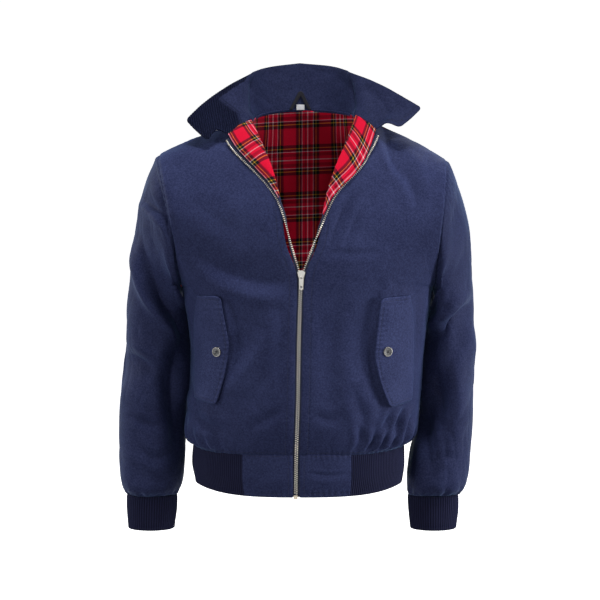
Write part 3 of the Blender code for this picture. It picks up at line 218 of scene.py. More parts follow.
BODY_CREASES = {
    "front_right": (
        # x and z of each place that the fold runs through, depth (a swell is negative),
        # width on the right and on the left of its way
        ((-6, -247, -60, -250, -127, -232, -171, -200), 10.9, 52, 11),
        ((-48, -328, -87, -388, -127, -452), -5.1, 15, 15),
        ((-80, -276, -70, -332, -95, -392), 4.7, 16, 12),
        ((-114, -268, -104, -324, -112, -392), 6.2, 6, 16),
        ((-183, -468, -151, -480, -115, -489), 6.2, 9, 7),
        ((-213, -81, -198, -149, -186, -212), -4.4, 13, 13),
        ((-24, -276, -28, -364, -24, -452), 2.7, 10, 10),
        ((-171, -117, -135, -149, -95, -173), 3.2, 14, 18),
        ((-183, -412, -171, -452, -165, -484), 4.7, 7, 9),
        ((-80, -484, -56, -468, -28, -452), 2.6, 7, 7),
        ((-163, -252, -171, -332, -175, -392), 2.9, 10, 10),
    ),
    "front_left": (
        ((138, -11, 148, -53, 173, -95), 5.5, 6, 15),
        ((167, -61, 181, -101, 187, -133), 3.2, 7, 10),
        ((84, -109, 66, -149, 45, -200), 5.1, 9, 7),
        ((95, -133, 80, -169, 68, -196), 2.9, 6, 6),
        ((36, -199, 80, -201, 125, -200), 2.3, 6, 4),
        ((126, -262, 111, -320, 118, -388, 132, -442), 8.3, 22, 6),
        ((58, -252, 52, -352, 48, -452), 4.4, 22, 22),
        ((151, -458, 137, -478, 126, -497), 6.2, 5, 5),
        ((181, -450, 161, -480, 146, -508), 7.7, 6, 5),
        ((185, -472, 177, -492, 168, -506), 6.5, 5, 5),
        ((95, -480, 99, -496, 101, -510), 4.7, 6, 6),
        ((87, -424, 99, -460, 111, -492), 4, 9, 9),
        ((185, -252, 191, -332, 188, -412), 4, 9, 9),
        ((24, -460, 48, -468, 68, -460), 2.6, 7, 7),
    ),
    "back": (
        ((-60, -120, -42, -215, -10, -300), 4.5, 20, 34),
        ((70, -100, 54, -195, 25, -280), 4.5, 34, 20),
        ((-175, -250, -140, -295, -90, -330), 7, 9, 24),
        ((190, -245, 150, -298, 95, -340), 7, 24, 9),
        ((-40, -420, -62, -465, -70, -500), 4.2, 9, 16),
        ((55, -400, 72, -455, 75, -500), 4.2, 16, 9),
        ((-150, -380, -168, -440, -172, -490), 4.8, 12, 9),
        ((160, -370, 180, -430, 186, -480), 4.8, 9, 12),
        ((-130, -60, -102, -76, -60, -82), 3.1, 14, 18),
        ((140, -66, 112, -83, 70, -90), 3.1, 18, 14),
        ((-20, -330, 3, -346, 40, -352), 3.6, 12, 28),
        ((-195, -150, -170, -198, -160, -235), 4.2, 9, 16),
        ((202, -150, 176, -200, 165, -240), 4.2, 16, 9),
    ),
}
TUCKS_FROM = 14.0       # height above the waist seam where the tucks are deepest
WAIST_TUCKS = {
    "front_right": (
        # share across, depth, width in share, reach up, lean in share
        (0.42, 2.4, 0.017, 40, 0.02), (0.55, 3.3, 0.0187, 55, 0.03),
        (0.68, 3.9, 0.0213, 60, 0.03), (0.82, 4.5, 0.0213, 50, 0.02),
    ),
    "front_left": (
        (0.28, 3, 0.0136, 45, 0.02), (0.373, 6.9, 0.017, 80, 0.04),
        (0.459, 7.5, 0.017, 70, 0.03), (0.565, 7.8, 0.0204, 85, 0.05),
        (0.694, 6.9, 0.0204, 65, 0.02), (0.84, 5.4, 0.0204, 50, 0.0),
    ),
    "back": (
        (0.06, 3.0, 0.016, 60, 0.01), (0.15, 3.8, 0.018, 75, 0.0), (0.25, 3.2, 0.018, 55, 0.02),
        (0.36, 4.0, 0.020, 70, 0.01), (0.47, 3.4, 0.020, 60, 0.02), (0.58, 3.8, 0.022, 70, 0.0),
        (0.70, 3.2, 0.022, 55, 0.01), (0.83, 3.4, 0.024, 50, 0.0),
    ),
}


def smooth(knots, values, at):
    """Cubic curve through values at knots, its slopes taken from the neighbours."""
    knots = np.asarray(knots, float)
    values = np.asarray(values, float)
    at = np.asarray(at, float)
    slopes = np.gradient(values, knots, axis=0)
    first = np.clip(np.searchsorted(knots, at, side="right") - 1, 0, len(knots) - 2)
    span = knots[first + 1] - knots[first]
    t = np.clip((at - knots[first]) / span, 0.0, 1.0)
    widen = t.shape + (1,) * (values.ndim - 1)
    t = t.reshape(widen)
    span = span.reshape(widen)
    start = (1 + 2 * t) * (1 - t) ** 2 * values[first] + t * (1 - t) ** 2 * span * slopes[first]
    end = t * t * (3 - 2 * t) * values[first + 1] + t * t * (t - 1) * span * slopes[first + 1]
    return start + end


def table_rows(table, at):
    """A table's rows joined by the curve and read at row numbers, whole or between."""
    return smooth(np.arange(len(table)), table, at)


def smooth_rows(table, count):
    """A number of rows spread evenly over a table, its rows joined by the curve."""
    return table_rows(table, np.linspace(0, len(table) - 1, count))


def ease(t):
    """0 to 1 with no slope at either end."""
    t = np.clip(t, 0.0, 1.0)
    return t * t * (3 - 2 * t)


def unit(v):
    """Vectors brought to length 1."""
    return v / np.maximum(np.linalg.norm(v, axis=-1, keepdims=True), 1e-9)


def cross_y(first, second):
    """The cross product of two vectors as seen from the front, where only x and z count."""
    return first[..., 0] * second[..., 2] - first[..., 2] * second[..., 0]


def body_section(height):
    """Right, left, front and back distances of the body at a height."""
    return smooth(BODY_SECTIONS[:, 0], BODY_SECTIONS[:, 1:], height)


def centre_front_x(height):
    """Where the middle of the zip lies at a height."""
    return np.interp(height, CENTRE_FRONT[:, 0], CENTRE_FRONT[:, 1])


def armhole_point(side, angle):
    """Slanted oval: 0 is the shoulder, 90 the front, 180 the underarm."""
    shoulder_x, shoulder_z, underarm_x, underarm_z = ARMHOLE[side]
    sine, cosine = np.sin(np.radians(angle)), np.cos(np.radians(angle))
    x = (shoulder_x + underarm_x) / 2 + (shoulder_x - underarm_x) / 2 * cosine
    x = x - SIDES[side] * ARMHOLE_BOW[side] * sine ** 2
    z = (shoulder_z + underarm_z) / 2 + (shoulder_z - underarm_z) / 2 * cosine
    return np.stack([x, ARMHOLE_Y - ARMHOLE_HALF_DEPTH * sine, z], axis=-1)


class BodyHalf:
    """Half of the front or of the back. A place on it is a share u from the middle to the
    side and a row k from the waist (-9) through the underarm (0) to the shoulder (10)."""

    def __init__(self, side, is_back):
        self.side = side
        self.is_back = is_back
        sign = SIDES[side]
        self.rows = np.arange(WAIST_ROW, SHOULDER_ROW + 1)
        below = np.array(ROW_LEVELS[:-1], float)
        low, high = len(below), len(BACK_CENTRE)
        right, left, front, back = body_section(below).T
        reach = left if sign > 0 else right
        side_y = ARMHOLE_Y * ease(np.arange(low) / low)
        climb = np.arange(high) / (high - 1)
        angle = 180.0 * (1 - climb)
        if is_back:
            low_inner = np.stack([np.zeros(low), back, below], axis=-1)
            high_inner = np.column_stack([np.zeros(high), BACK_CENTRE])
        else:
            low_inner = np.stack([centre_front_x(below) + sign * ZIP_TO_CLOTH, -front, below], -1)
            high_inner = FRONT_EDGE[side]
        self.inner = np.concatenate([low_inner, high_inner])
        low_outer = np.stack([sign * reach, side_y, below], axis=-1)
        self.outer = np.concatenate([low_outer, armhole_point(side, -angle if is_back else angle)])
        turn = 90.0 - (90.0 - SHOULDER_BEND) * 2 * climb - 30.0 * climb ** 3
        self.turn = np.maximum(np.concatenate([np.full(low, 90.0), turn]), 1.0)
        self.square = np.concatenate([np.full(low, SQUARE), SQUARE + (1 - SQUARE) * climb])

    def top_edge(self, u):
        """The shoulder seam and, on a back half, a quarter oval round the neck before it."""
        neck = FRONT_EDGE[self.side][-1]
        shoulder = self.outer[-1]
        if not self.is_back:
            return neck + (shoulder - neck) * u[..., None] + self.shoulder_bow(u)
        middle = self.inner[-1]
        quarter = np.clip(u / NECK_SHARE, 0, 1)[..., None] * math.pi / 2
        sweep = np.concatenate([np.sin(quarter), np.cos(quarter), np.cos(quarter)], axis=-1)
        round_neck = neck + (middle - neck) * sweep
        round_neck[..., 0] = neck[0] * sweep[..., 0]
        along = np.clip((u - NECK_SHARE) / (1 - NECK_SHARE), 0, 1)
        seam = neck + (shoulder - neck) * along[..., None] + self.shoulder_bow(along)
        return np.where((u > NECK_SHARE)[..., None], seam, round_neck)

    def shoulder_bow(self, along):
        """The shoulder seam stands above a straight line by a flattened arch."""
        arch = SHOULDER_RISE * (1 - np.abs(2 * along - 1) ** 2.5)
        return arch[..., None] * UP

    def plain_point(self, u, k):
        """Each row is the part of a squared oval between its inner and outer ends."""
        inner = smooth(self.rows, self.inner, k)
        outer = smooth(self.rows, self.outer, k)
        turn = np.radians(smooth(self.rows, self.turn, k))
        square = smooth(self.rows, self.square, k)
        t = np.clip(u, 0, 1) * turn
        across = (np.sin(t) / np.sin(turn)) ** square
        end = np.abs(np.cos(turn)) ** square
        ahead = (np.abs(np.cos(t)) ** square - end) / (1 - end)
        x = inner[..., 0] + (outer[..., 0] - inner[..., 0]) * across
        y = outer[..., 1] + (inner[..., 1] - outer[..., 1]) * ahead
        z = inner[..., 2] + (outer[..., 2] - inner[..., 2]) * u
        return np.stack([x, y, z], axis=-1)

    def point(self, u, k):
        """The plain row, drawn near the top to the shoulder seam and the neck."""
        u = np.asarray(u, float) + np.zeros_like(np.asarray(k, float))
        k = np.asarray(k, float) + np.zeros_like(u)
        plain_top = self.plain_point(u, np.full_like(u, SHOULDER_ROW))
        share = ease((k - 6.0) / 4.0)[..., None]
        return self.plain_point(u, k) + share * (self.top_edge(u) - plain_top)

    def normal(self, u, k):
        """Outward unit normal, from small steps across and up."""
        step = 0.01
        across = self.point(np.minimum(u + step, 1), k) - self.point(np.maximum(u - step, 0), k)
        up = self.point(u, np.minimum(k + step, SHOULDER_ROW)) - self.point(u, k - step)
        n = unit(np.cross(across, up))
        out = (self.point(u, k) + 60.0 * UP) * np.array([1.0, 1.0, 0.4])
        return n * np.where((n * out).sum(-1) < 0, -1.0, 1.0)[..., None]

    def lifted(self, u, k, lift):
        """A place raised off the surface."""
        return self.point(u, k) + self.normal(u, k) * np.asarray(lift, float)[..., None]

    def seen_at(self, x, z, lift):
        """Share and row of the lifted point at x and z from the front, by Newton's method
        from the nearest place of a coarse net."""
        try_u, try_k = np.meshgrid(np.linspace(0.02, 0.98, 49), np.linspace(-8.5, 9.7, 92))
        tries = self.point(try_u.ravel(), try_k.ravel())
        near = (tries[:, 0] - x.ravel()[:, None]) ** 2 + (tries[:, 2] - z.ravel()[:, None]) ** 2
        best = near.argmin(axis=1)
        u = try_u.ravel()[best].reshape(x.shape)
        k = try_k.ravel()[best].reshape(x.shape)
        step = 0.002
        for _ in range(8):
            here = self.lifted(u, k, lift)
            by_u = (self.lifted(u + step, k, lift) - here) / step
            by_k = (self.lifted(u, k - step, lift) - here) / -step
            miss = np.stack([x, 0 * x, z], axis=-1) - here
            size = cross_y(by_u, by_k)
            move_u, move_k = cross_y(miss, by_k) / size, cross_y(by_u, miss) / size
            u = np.clip(u + np.clip(move_u, -0.08, 0.08), 0.0, 1.0 - step)
            k = np.clip(k + np.clip(move_k, -0.8, 0.8), -8.9, SHOULDER_ROW - step)
        return u, k


def grid_normals(grid, closed=False):
    """Unit normals of a grid of points, across the columns and up the rows."""
    if closed:
        across = np.roll(grid, -1, axis=1) - np.roll(grid, 1, axis=1)
    else:
        across = np.gradient(grid, axis=1)
    return unit(np.cross(across, np.gradient(grid, axis=0)))


def run_lengths(grid, axis):
    """Distance travelled along a grid's rows (axis 1) or columns (axis 0) to each point."""
    steps = np.linalg.norm(np.diff(grid, axis=axis), axis=-1)
    start = np.zeros_like(np.take(steps, [0], axis=axis))
    return np.concatenate([start, np.cumsum(steps, axis=axis)], axis=axis)


def to_edges(grid):
    """Distances along a grid to its first and last column and its first and last row."""
    across, up = run_lengths(grid, 1), run_lengths(grid, 0)
    return across, across[:, -1:] - across, up, up[-1:] - up


def normals_towards(hint, grid, closed=False):
    """Unit normals of a grid, on the side that hint points to."""
    normals = grid_normals(grid, closed)
    return normals * np.sign((normals * hint).sum(-1, keepdims=True))


def outward(grid):
    """A rough way out of the jacket at each point."""
    return (grid + 60.0 * UP) * np.array([1.0, 1.0, 0.3])


def both_halves(right, left):
    """Two grids that start from the middle as one, from the wearer's right to the left."""
    return np.concatenate([right[:, :0:-1], left], axis=1)


def corner_moves(radius, to_one, to_other):
    """How far points near a corner move in from its two edges, so that the square between
    them becomes a quarter disc."""
    a = np.clip(radius - to_one, 0, None)
    b = np.clip(radius - to_other, 0, None)
    shrink = 1 - np.maximum(a, b) / np.maximum(np.hypot(a, b), 1e-6)
    return (a * shrink)[..., None], (b * shrink)[..., None]


def folds(across, up, table):
    """Depth of folds that run through given places: full in the middle, fading to both ends,
    and falling off as exp(-(distance / width) ** 1.45), with its own width on each side and
    a low swell beyond."""
    total = np.zeros_like(across)
    for places, depth, right, left in table:
        line = smooth_rows(np.array(places, float).reshape(-1, 2), 11)
        steps = np.diff(line, axis=0)
        nearest = np.full(across.shape, 1e6)
        share = np.zeros_like(across)
        width = np.ones_like(across)
        for number, ((x, z), (dx, dz)) in enumerate(zip(line, steps)):
            t = np.clip(((across - x) * dx + (up - z) * dz) / (dx * dx + dz * dz), 0, 1)
            off_x = across - x - t * dx
            off_z = up - z - t * dz
            off = np.hypot(off_x, off_z)
            side = (off_x * dz - off_z * dx) / (np.hypot(dx, dz) * np.maximum(off, 1e-6))
            closer = off < nearest
            nearest = np.where(closer, off, nearest)
            share = np.where(closer, (number + t) / len(steps), share)
            width = np.where(closer, (right + left) / 2 + (right - left) / 2 * side, width)
        fade = np.sin(math.pi * (0.06 + 0.88 * share)) ** 0.8
        off = nearest / width
        total += depth * fade * (np.exp(-off ** 1.45) - 0.28 * np.exp(-((off - 2.1) / 0.9) ** 2))
    return total


def ripple(places, size, seed):
    """Shallow unevenness of handled cloth: a sum of slanting waves, about 1 high."""
    dice = np.random.default_rng(seed)
    total = np.zeros(places.shape[:-1])
    for _ in range(9):
        way = unit(dice.normal(size=3)) * 2 * math.pi / (size * dice.uniform(0.7, 1.8))
        total += np.sin(places @ way + dice.uniform(0, 2 * math.pi))
    return total / 3.0


def crumple(places, size, seed):
    """Small sharp creases in patches: waves bent by slower waves, each sharpened to narrow
    valleys as a power of 1 - |sin|, about 1 deep."""
    dice = np.random.default_rng(seed)
    bent = places.copy()
    for _ in range(3):
        way = unit(dice.normal(size=3)) * 2 * math.pi / (size * 3.2)
        wave = np.sin(places @ way + dice.uniform(0, 2 * math.pi))
        bent = bent + size * 0.55 * wave[..., None] * unit(dice.normal(size=3))
    total = np.zeros(places.shape[:-1])
    for _ in range(5):
        way = unit(dice.normal(size=3)) * math.pi / (size * dice.uniform(0.8, 1.6))
        slow = unit(dice.normal(size=3)) * 2 * math.pi / (size * 4.0)
        patch = ease(0.5 + 1.2 * np.sin(places @ slow + dice.uniform(0, 2 * math.pi)))
        valley = 1 - np.abs(np.sin(bent @ way + dice.uniform(0, 2 * math.pi)))
        total += patch * valley ** 2.5
    return total * 0.7


def tuck_depth(u, rise, table):
    """Depth of the tucks above the hem band: sewn flat at the seam, deepest a little above
    it, then fading out over each tuck's reach."""
    total = np.zeros_like(u)
    for at, depth, width, reach, lean in table:
        off = (u - at - lean * rise / reach) / (width * (1 + rise / reach))
        up = ease(rise / TUCKS_FROM)
        up = up * np.clip(1 - (rise - TUCKS_FROM) / reach, 0, 1) ** 1.3
        total += depth * up * (np.exp(-off ** 2) - 0.35 * np.exp(-(np.abs(off) - 1.9) ** 2))
    return total


def dip(distance, drop=1.5, width=2.4):
    """How far the cloth dips beside a seam or along a row of stitches."""
    return drop * np.exp(-(distance / width) ** 2)


def puckers(along, from_seam, pitch, reach):
    """Little gathers square to a row of stitches: a wave along it, fading away from it."""
    return 0.5 * np.sin(2 * math.pi * along / pitch + 1.5 * np.sin(along / (2.3 * pitch))) \
        * np.exp(-(from_seam / reach) ** 2)


class Wire:
    """An output of a shader node, a colour or a number."""

    def __init__(self, finish, socket):
        self.finish = finish
        self.socket = socket


def math_operator(operation):
    """A method of Wire that adds one Math node."""
    def method(self, other):
        return self.finish.add("ShaderNodeMath", {"operation": operation}, {0: self, 1: other})
    return method


for operator, operation in (("add", "ADD"), ("sub", "SUBTRACT"), ("mul", "MULTIPLY"),
                            ("truediv", "DIVIDE"), ("mod", "FLOORED_MODULO"),
                            ("gt", "GREATER_THAN"), ("lt", "LESS_THAN")):
    setattr(Wire, "__" + operator + "__", math_operator(operation))


class Finish:
    """A material in the making, round one Principled shader."""

    def __init__(self, name, **constants):
        self.material = bpy.data.materials.new(name)
        self.material.use_nodes = True
        self.tree = self.material.node_tree
        self.shader = self.tree.nodes["Principled BSDF"]
        for socket, value in constants.items():
            self.shader.inputs[socket.replace("_", " ")].default_value = value

    def add(self, kind, settings=None, values=None, out=0):
        """Add one node, set it up, feed its sockets and return the named output."""
        node = self.tree.nodes.new(kind)
        for key, value in (settings or {}).items():
            if key == "stops":
                self.set_stops(node.color_ramp, value)
            else:
                setattr(node, key, value)
        for socket, value in (values or {}).items():
            self.feed(node.inputs[socket], value)
        return Wire(self, node.outputs[out])

    def set_stops(self, ramp, stops):
        """Make a colour ramp's stops, given as position and colour."""
        while len(ramp.elements) < len(stops):
            ramp.elements.new(0.5)
        for element, (position, colour) in zip(ramp.elements, stops):
            element.position = position
            element.color = (*colour, 1.0)

    def feed(self, socket, value):
        """Link a wire to a socket, or set the socket's own value."""
        if isinstance(value, Wire):
            self.tree.links.new(value.socket, socket)
        elif isinstance(value, tuple) and len(value) == 3 and socket.type == "RGBA":
            socket.default_value = (*value, 1.0)
        else:
            socket.default_value = value

    def set(self, socket, value):
        """Feed one of the shader's sockets."""
        self.feed(self.shader.inputs[socket], value)

    def blend(self, factor, first, second, how="MIX"):
        """A colour mixed from two colours."""
        return self.add("ShaderNodeMix", {"data_type": "RGBA", "blend_type": how},
                        {0: factor, 6: first, 7: second}, out=2)

    def attribute(self, name):
        """A number stored at the mesh's points."""
        return self.add("ShaderNodeAttribute", {"attribute_name": name}, out="Fac")

    def place(self, uv=True):
        """Place on the cloth in metres, or in the object."""
        if uv:
            return self.add("ShaderNodeUVMap", {"uv_map": "cloth"})
        return self.add("ShaderNodeTexCoord", out="Object")

    def noise(self, place, scale, detail=2.0, roughness=0.5):
        """Noise about 0.5, its scale in lumps per metre."""
        return self.add("ShaderNodeTexNoise", {},
                        {"Vector": place, "Scale": scale, "Detail": detail,
                         "Roughness": roughness})

    def wave(self, place, scale, distortion, direction="Y"):
        """Waves that rise and fall along one direction."""
        return self.add("ShaderNodeTexWave", {"bands_direction": direction},
                        {"Vector": place, "Scale": scale, "Distortion": distortion})

    def bump(self, height, strength, distance):
        """Raise the surface's look by a height map."""
        normal = self.add("ShaderNodeBump", {}, {"Height": height, "Strength": strength,
                                                 "Distance": distance}, out="Normal")
        self.set("Normal", normal)


def navy_twill(name, colour, light_colour, rows=None):
    """Brushed cotton twill: fine slanting lines under a short nap that lies in light and dark
    flecks, with a soft blue sheen. Rows is a darker colour, painted shade of cloth sewn in close
    ridged rows, where the attribute rows is 1; the furrow attribute paints shade darker still
    in the grooves, on the stitched lines and along turned edges."""
    finish = Finish(name, Roughness=0.62, Sheen_Weight=0.12, Sheen_Roughness=0.35,
                    Sheen_Tint=(0.30, 0.58, 1.0, 1.0), Specular_IOR_Level=0.03)
    place = finish.place(uv=False)
    cloth_place = finish.place()
    slubs = finish.noise(place, 16.0, 4.0, 0.6)
    nap = finish.noise(place, 380.0, 4.0, 0.62)
    fuzz = finish.noise(place, 1300.0, 2.0)
    tone = (slubs - 0.5) * 0.9 + (nap - 0.5) * 2.6 + (fuzz - 0.5) * 1.2 + 0.46
    twill = finish.wave(cloth_place, 260.0, 0.6, "DIAGONAL")
    dyed = finish.blend(tone, colour, light_colour)
    if rows:
        # painted shade: the close stitched rows take the darker rows colour
        dyed = finish.blend(finish.attribute("rows"), dyed, finish.blend(tone, rows, colour))
        # painted shade: the furrow attribute darkens grooves, stitched lines and turned edges to
        # near black
        dyed = finish.blend(finish.attribute("furrow") * 0.8, dyed, (0.002, 0.003, 0.009))
    finish.set("Base Color", dyed)
    finish.bump(twill * 0.10 + nap * 0.7 + fuzz * 0.3, 0.5, 0.0011)
    return finish.material


NAVY = navy_twill("navy_twill", (0.0185, 0.0230, 0.066), (0.040, 0.050, 0.128))

TARTAN_RED = (0.74, 0.008, 0.040)
TARTAN_MAROON = (0.20, 0.006, 0.020)
TARTAN_BLACK = (0.007, 0.010, 0.015)
TARTAN_WHITE = (0.86, 0.82, 0.84)
TARTAN_YELLOW = (0.78, 0.44, 0.02)
WARP_REPEAT = 61.0
WEFT_REPEAT = 80.0
WARP_STRIPES = (
    # distance from the middle of the sett, colour up to there
    (0.9, TARTAN_WHITE), (2.7, TARTAN_RED), (4.6, TARTAN_MAROON), (8.9, TARTAN_RED),
    (10.0, TARTAN_WHITE), (13.7, TARTAN_BLACK), (14.7, TARTAN_YELLOW), (19.1, TARTAN_BLACK),
    (20.2, TARTAN_MAROON), (30.5, TARTAN_RED),
)
WEFT_STRIPES = (
    (0.9, TARTAN_WHITE), (5.8, TARTAN_RED), (11.2, TARTAN_MAROON), (13.4, TARTAN_RED),
    (14.6, TARTAN_WHITE), (18.6, TARTAN_BLACK), (20.2, TARTAN_YELLOW), (25.7, TARTAN_BLACK),
    (40.0, TARTAN_RED),
)


def tartan(name, warp_from=0.0, weft_from=0.0):
    """Woven tartan: stripes along and across, each the same both ways from the middle of
    the sett, mixed thread for thread."""
    finish = Finish(name, Roughness=0.9, Sheen_Weight=0.03, Specular_IOR_Level=0.02)
    cloth_place = finish.place()
    parts = [finish.add("ShaderNodeSeparateXYZ", {}, {"Vector": cloth_place}, out=axis)
             for axis in ("X", "Y")]
    threads = []
    for part, start, repeat, stripes in ((parts[0], warp_from, WARP_REPEAT, WARP_STRIPES),
                                         (parts[1], weft_from, WEFT_REPEAT, WEFT_STRIPES)):
        shifted = (part - start * MM) / (repeat * MM) + 0.5
        from_middle = finish.add("ShaderNodeMath", {"operation": "ABSOLUTE"},
                                 {0: (shifted % 1.0) - 0.5}) * 2.0
        edges = [0.0] + [2 * limit / repeat for limit, _ in stripes[:-1]]
        stops = [(edge, colour) for edge, (_, colour) in zip(edges, stripes)]
        threads.append(finish.add("ShaderNodeValToRGB", {"stops": stops}, {0: from_middle}))
        finish.tree.nodes[-1].color_ramp.interpolation = "CONSTANT"
    weave = finish.add("ShaderNodeTexChecker", {}, {"Vector": cloth_place, "Scale": 1600.0},
                       out="Fac")
    nap = finish.noise(cloth_place, 600.0, 2.0)
    product = finish.add("ShaderNodeVectorMath", {"operation": "MULTIPLY"},
                         {0: threads[0], 1: threads[1]})
    between = finish.add("ShaderNodeGamma", {}, {"Color": product, "Gamma": 0.5})
    mixed = finish.blend(0.45, between, finish.blend(weave * 0.3 + 0.35, *threads))
    finish.set("Base Color", finish.blend(nap * 0.3, mixed, (0.05, 0.02, 0.03), "MULTIPLY"))
    finish.bump(weave * 0.5 + nap * 0.5, 0.3, 0.0004)
    return finish.material


TARTAN = tartan("tartan_lining")


def full_turn(grid, closed):
    """A grid with its first column added again at the end if it is a tube."""
    return np.concatenate([grid, grid[:, :1]], axis=1) if closed else grid


def cloth_sheet(name, grid, materials, hint, closed=False, thickness=CLOTH, lengths=None):
    """A sheet on a grid of points in mm, with its own lengths in metres as UV, faces
    turned towards hint and its thickness going in behind them."""
    rows, columns = grid.shape[:2]
    faces = grid_faces(rows, columns, closed)
    around = full_turn(grid, closed)
    across_run, up_run = lengths or (run_lengths(around, 1), run_lengths(around, 0))
    uv_grid = np.stack([across_run, up_run], axis=-1) * MM
    uv_faces = grid_faces(rows, around.shape[1], False)
    if (grid_normals(grid, closed) * hint).sum() < 0:
        faces, uv_faces = faces[:, ::-1], uv_faces[:, ::-1]
    uv = uv_grid.reshape(-1, 2)[uv_faces.ravel()]
    piece = add_mesh(name, grid * MM, faces, materials, uv)
    wall = piece.modifiers.new("thickness", "SOLIDIFY")
    wall.thickness = thickness * MM
    wall.offset = -1.0
    wall.use_quality_normals = True
    wall.use_rim = True
    wall.material_offset = len(materials) - 1
    return piece


def sew_on(piece, node):
    """Let a piece stand for its CAD node and move with the jacket."""
    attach(piece, "jacket")
    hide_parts(node)


def dress(piece, node):
    sew_on(piece, node)


def along_line(values, length, at):
    """Values given at a line's points, read off at other distances along it."""
    return np.stack([np.interp(at, length, values[:, i]) for i in range(values.shape[1])], axis=-1)


def blocks(name, centres, ways, sizes, material):
    """Small bars with a narrower outer face: each of the eight corners is the centre plus
    three half edges along the bar's own ways."""
    corner = np.array([(i, j, k) for k in (-1, 1) for j in (-1, 1) for i in (-1, 1)], float)
    taper = np.where(corner[:, 2:] > 0, np.array([[0.62, 0.40, 1.0]]), 1.0)
    half = np.asarray(sizes, float) / 2
    points = centres[:, None] + np.einsum("ck,nkd->ncd", corner * taper * half, ways)
    quads = np.array([(0, 2, 3, 1), (4, 5, 7, 6), (0, 1, 5, 4), (2, 6, 7, 3), (0, 4, 6, 2),
                      (1, 3, 7, 5)])
    faces = np.arange(len(centres))[:, None, None] * 8 + quads
    flipped = np.einsum("nd,nd->n", np.cross(ways[:, 0], ways[:, 1]), ways[:, 2]) < 0
    faces[flipped] = faces[flipped][:, :, ::-1]
    piece = add_mesh(name, points * MM, faces.reshape(-1, 4), [material])
    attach(piece, "jacket")
    return piece


def thread_finish():
    """Dark twisted thread, partly its own dark navy and partly painted shade: darker than the
    cloth to stand for the shade of the needle holes.
    """
    finish = Finish("sewing_thread_painted_shade", Roughness=0.7, Specular_IOR_Level=0.3)
    twist = finish.noise(finish.place(uv=False), 1500.0, 2.0)
    # partly painted shade: the thread is darker than the cloth, standing for shade in the needle
    # holes
    finish.set("Base Color", finish.blend(twist, (0.008, 0.010, 0.028), (0.018, 0.022, 0.055)))
    return finish.material


THREAD = thread_finish()


def line_on(grid, distance, at):
    """Where a distance that grows along each row of a grid reaches a value, row by row."""
    after = np.clip((distance < at).sum(axis=1), 1, grid.shape[1] - 1)
    row = np.arange(len(grid))
    low, high = distance[row, after - 1], distance[row, after]
    share = np.clip((at - low) / np.maximum(high - low, 1e-6), 0, 1)[:, None]
    return grid[row, after - 1] * (1 - share) + grid[row, after] * share


def sewn_line(grid, normals, distance, at, keep=slice(None), down=False):
    """Points and normals for a row of stitches where a distance that grows along each row,
    or down each column, reaches a value."""
    if down:
        grid, normals, distance = (part.swapaxes(0, 1) for part in (grid, normals, distance))
    return [line_on(part, distance, at)[keep] for part in (grid, normals)]


STITCH_SIZE = (2.1, 0.8, 0.8)
STITCH_PITCH = 3.6
STITCH_LIFT = 0.15


def stitches(name, rows):
    """Rows of sewn stitches: short bars lying along lines of points on the cloth."""
    centres, ways = [], []
    for line, normals in rows:
        travel = run_lengths(line, 0)
        at = np.arange(STITCH_PITCH / 2, travel[-1], STITCH_PITCH)
        centre, front = (along_line(v, travel, at) for v in (line, normals))
        along = unit(along_line(np.gradient(line, axis=0), travel, at))
        front = unit(front - along * (front * along).sum(-1, keepdims=True))
        centres.append(centre + front * STITCH_LIFT)
        ways.append(np.stack([along, np.cross(front, along), front], axis=1))
    piece = blocks(name, np.concatenate(centres), np.concatenate(ways), STITCH_SIZE, THREAD)


PLACKET = (0.0, 0.8, 1.8, 3.0, 4.4, 5.6, 6.2, 6.8, 7.4, 8.0, 9.2, 11.0, 13.0)
FRONT_COLUMNS = 120
BACK_COLUMNS = 130
BODY_ROWS = 190
STITCH_FROM_ZIP = 6.8
STITCH_FROM_WAIST = 2.4
LINING_SHARE = 8 / 14      # how much of the back its own lining covers near the neck

fronts = {side: BodyHalf(side, False) for side in SIDES}
backs = {side: BodyHalf(side, True) for side in SIDES}


def body_rows():
    """Rows closer together near the waist seam and the shoulder."""
    t = np.linspace(0.0, 1.0, BODY_ROWS)
    t = t - 0.06 * np.sin(2 * math.pi * t)
    return np.interp(t, (0, 0.06, 0.56, 1.0), (WAIST_ROW, WAIST_ROW + 3, 0, SHOULDER_ROW))


def side_gathers(grid, k, from_side):
    """Little gathers along the armhole, where k is above 0."""
    return 0.7 * puckers(grid[..., 2], from_side - 3.0, 15.0, 12.0) * ease(k / 1.5)


def seam_dips(k, from_side, rise, from_top):
    """The cloth sinks beside the side, waist and top seams, deepest at the armhole."""
    return dip(from_side, 1.2 + 1.4 * ease(k), 3.0) + dip(from_top) + dip(rise, 1.0, 3.0)


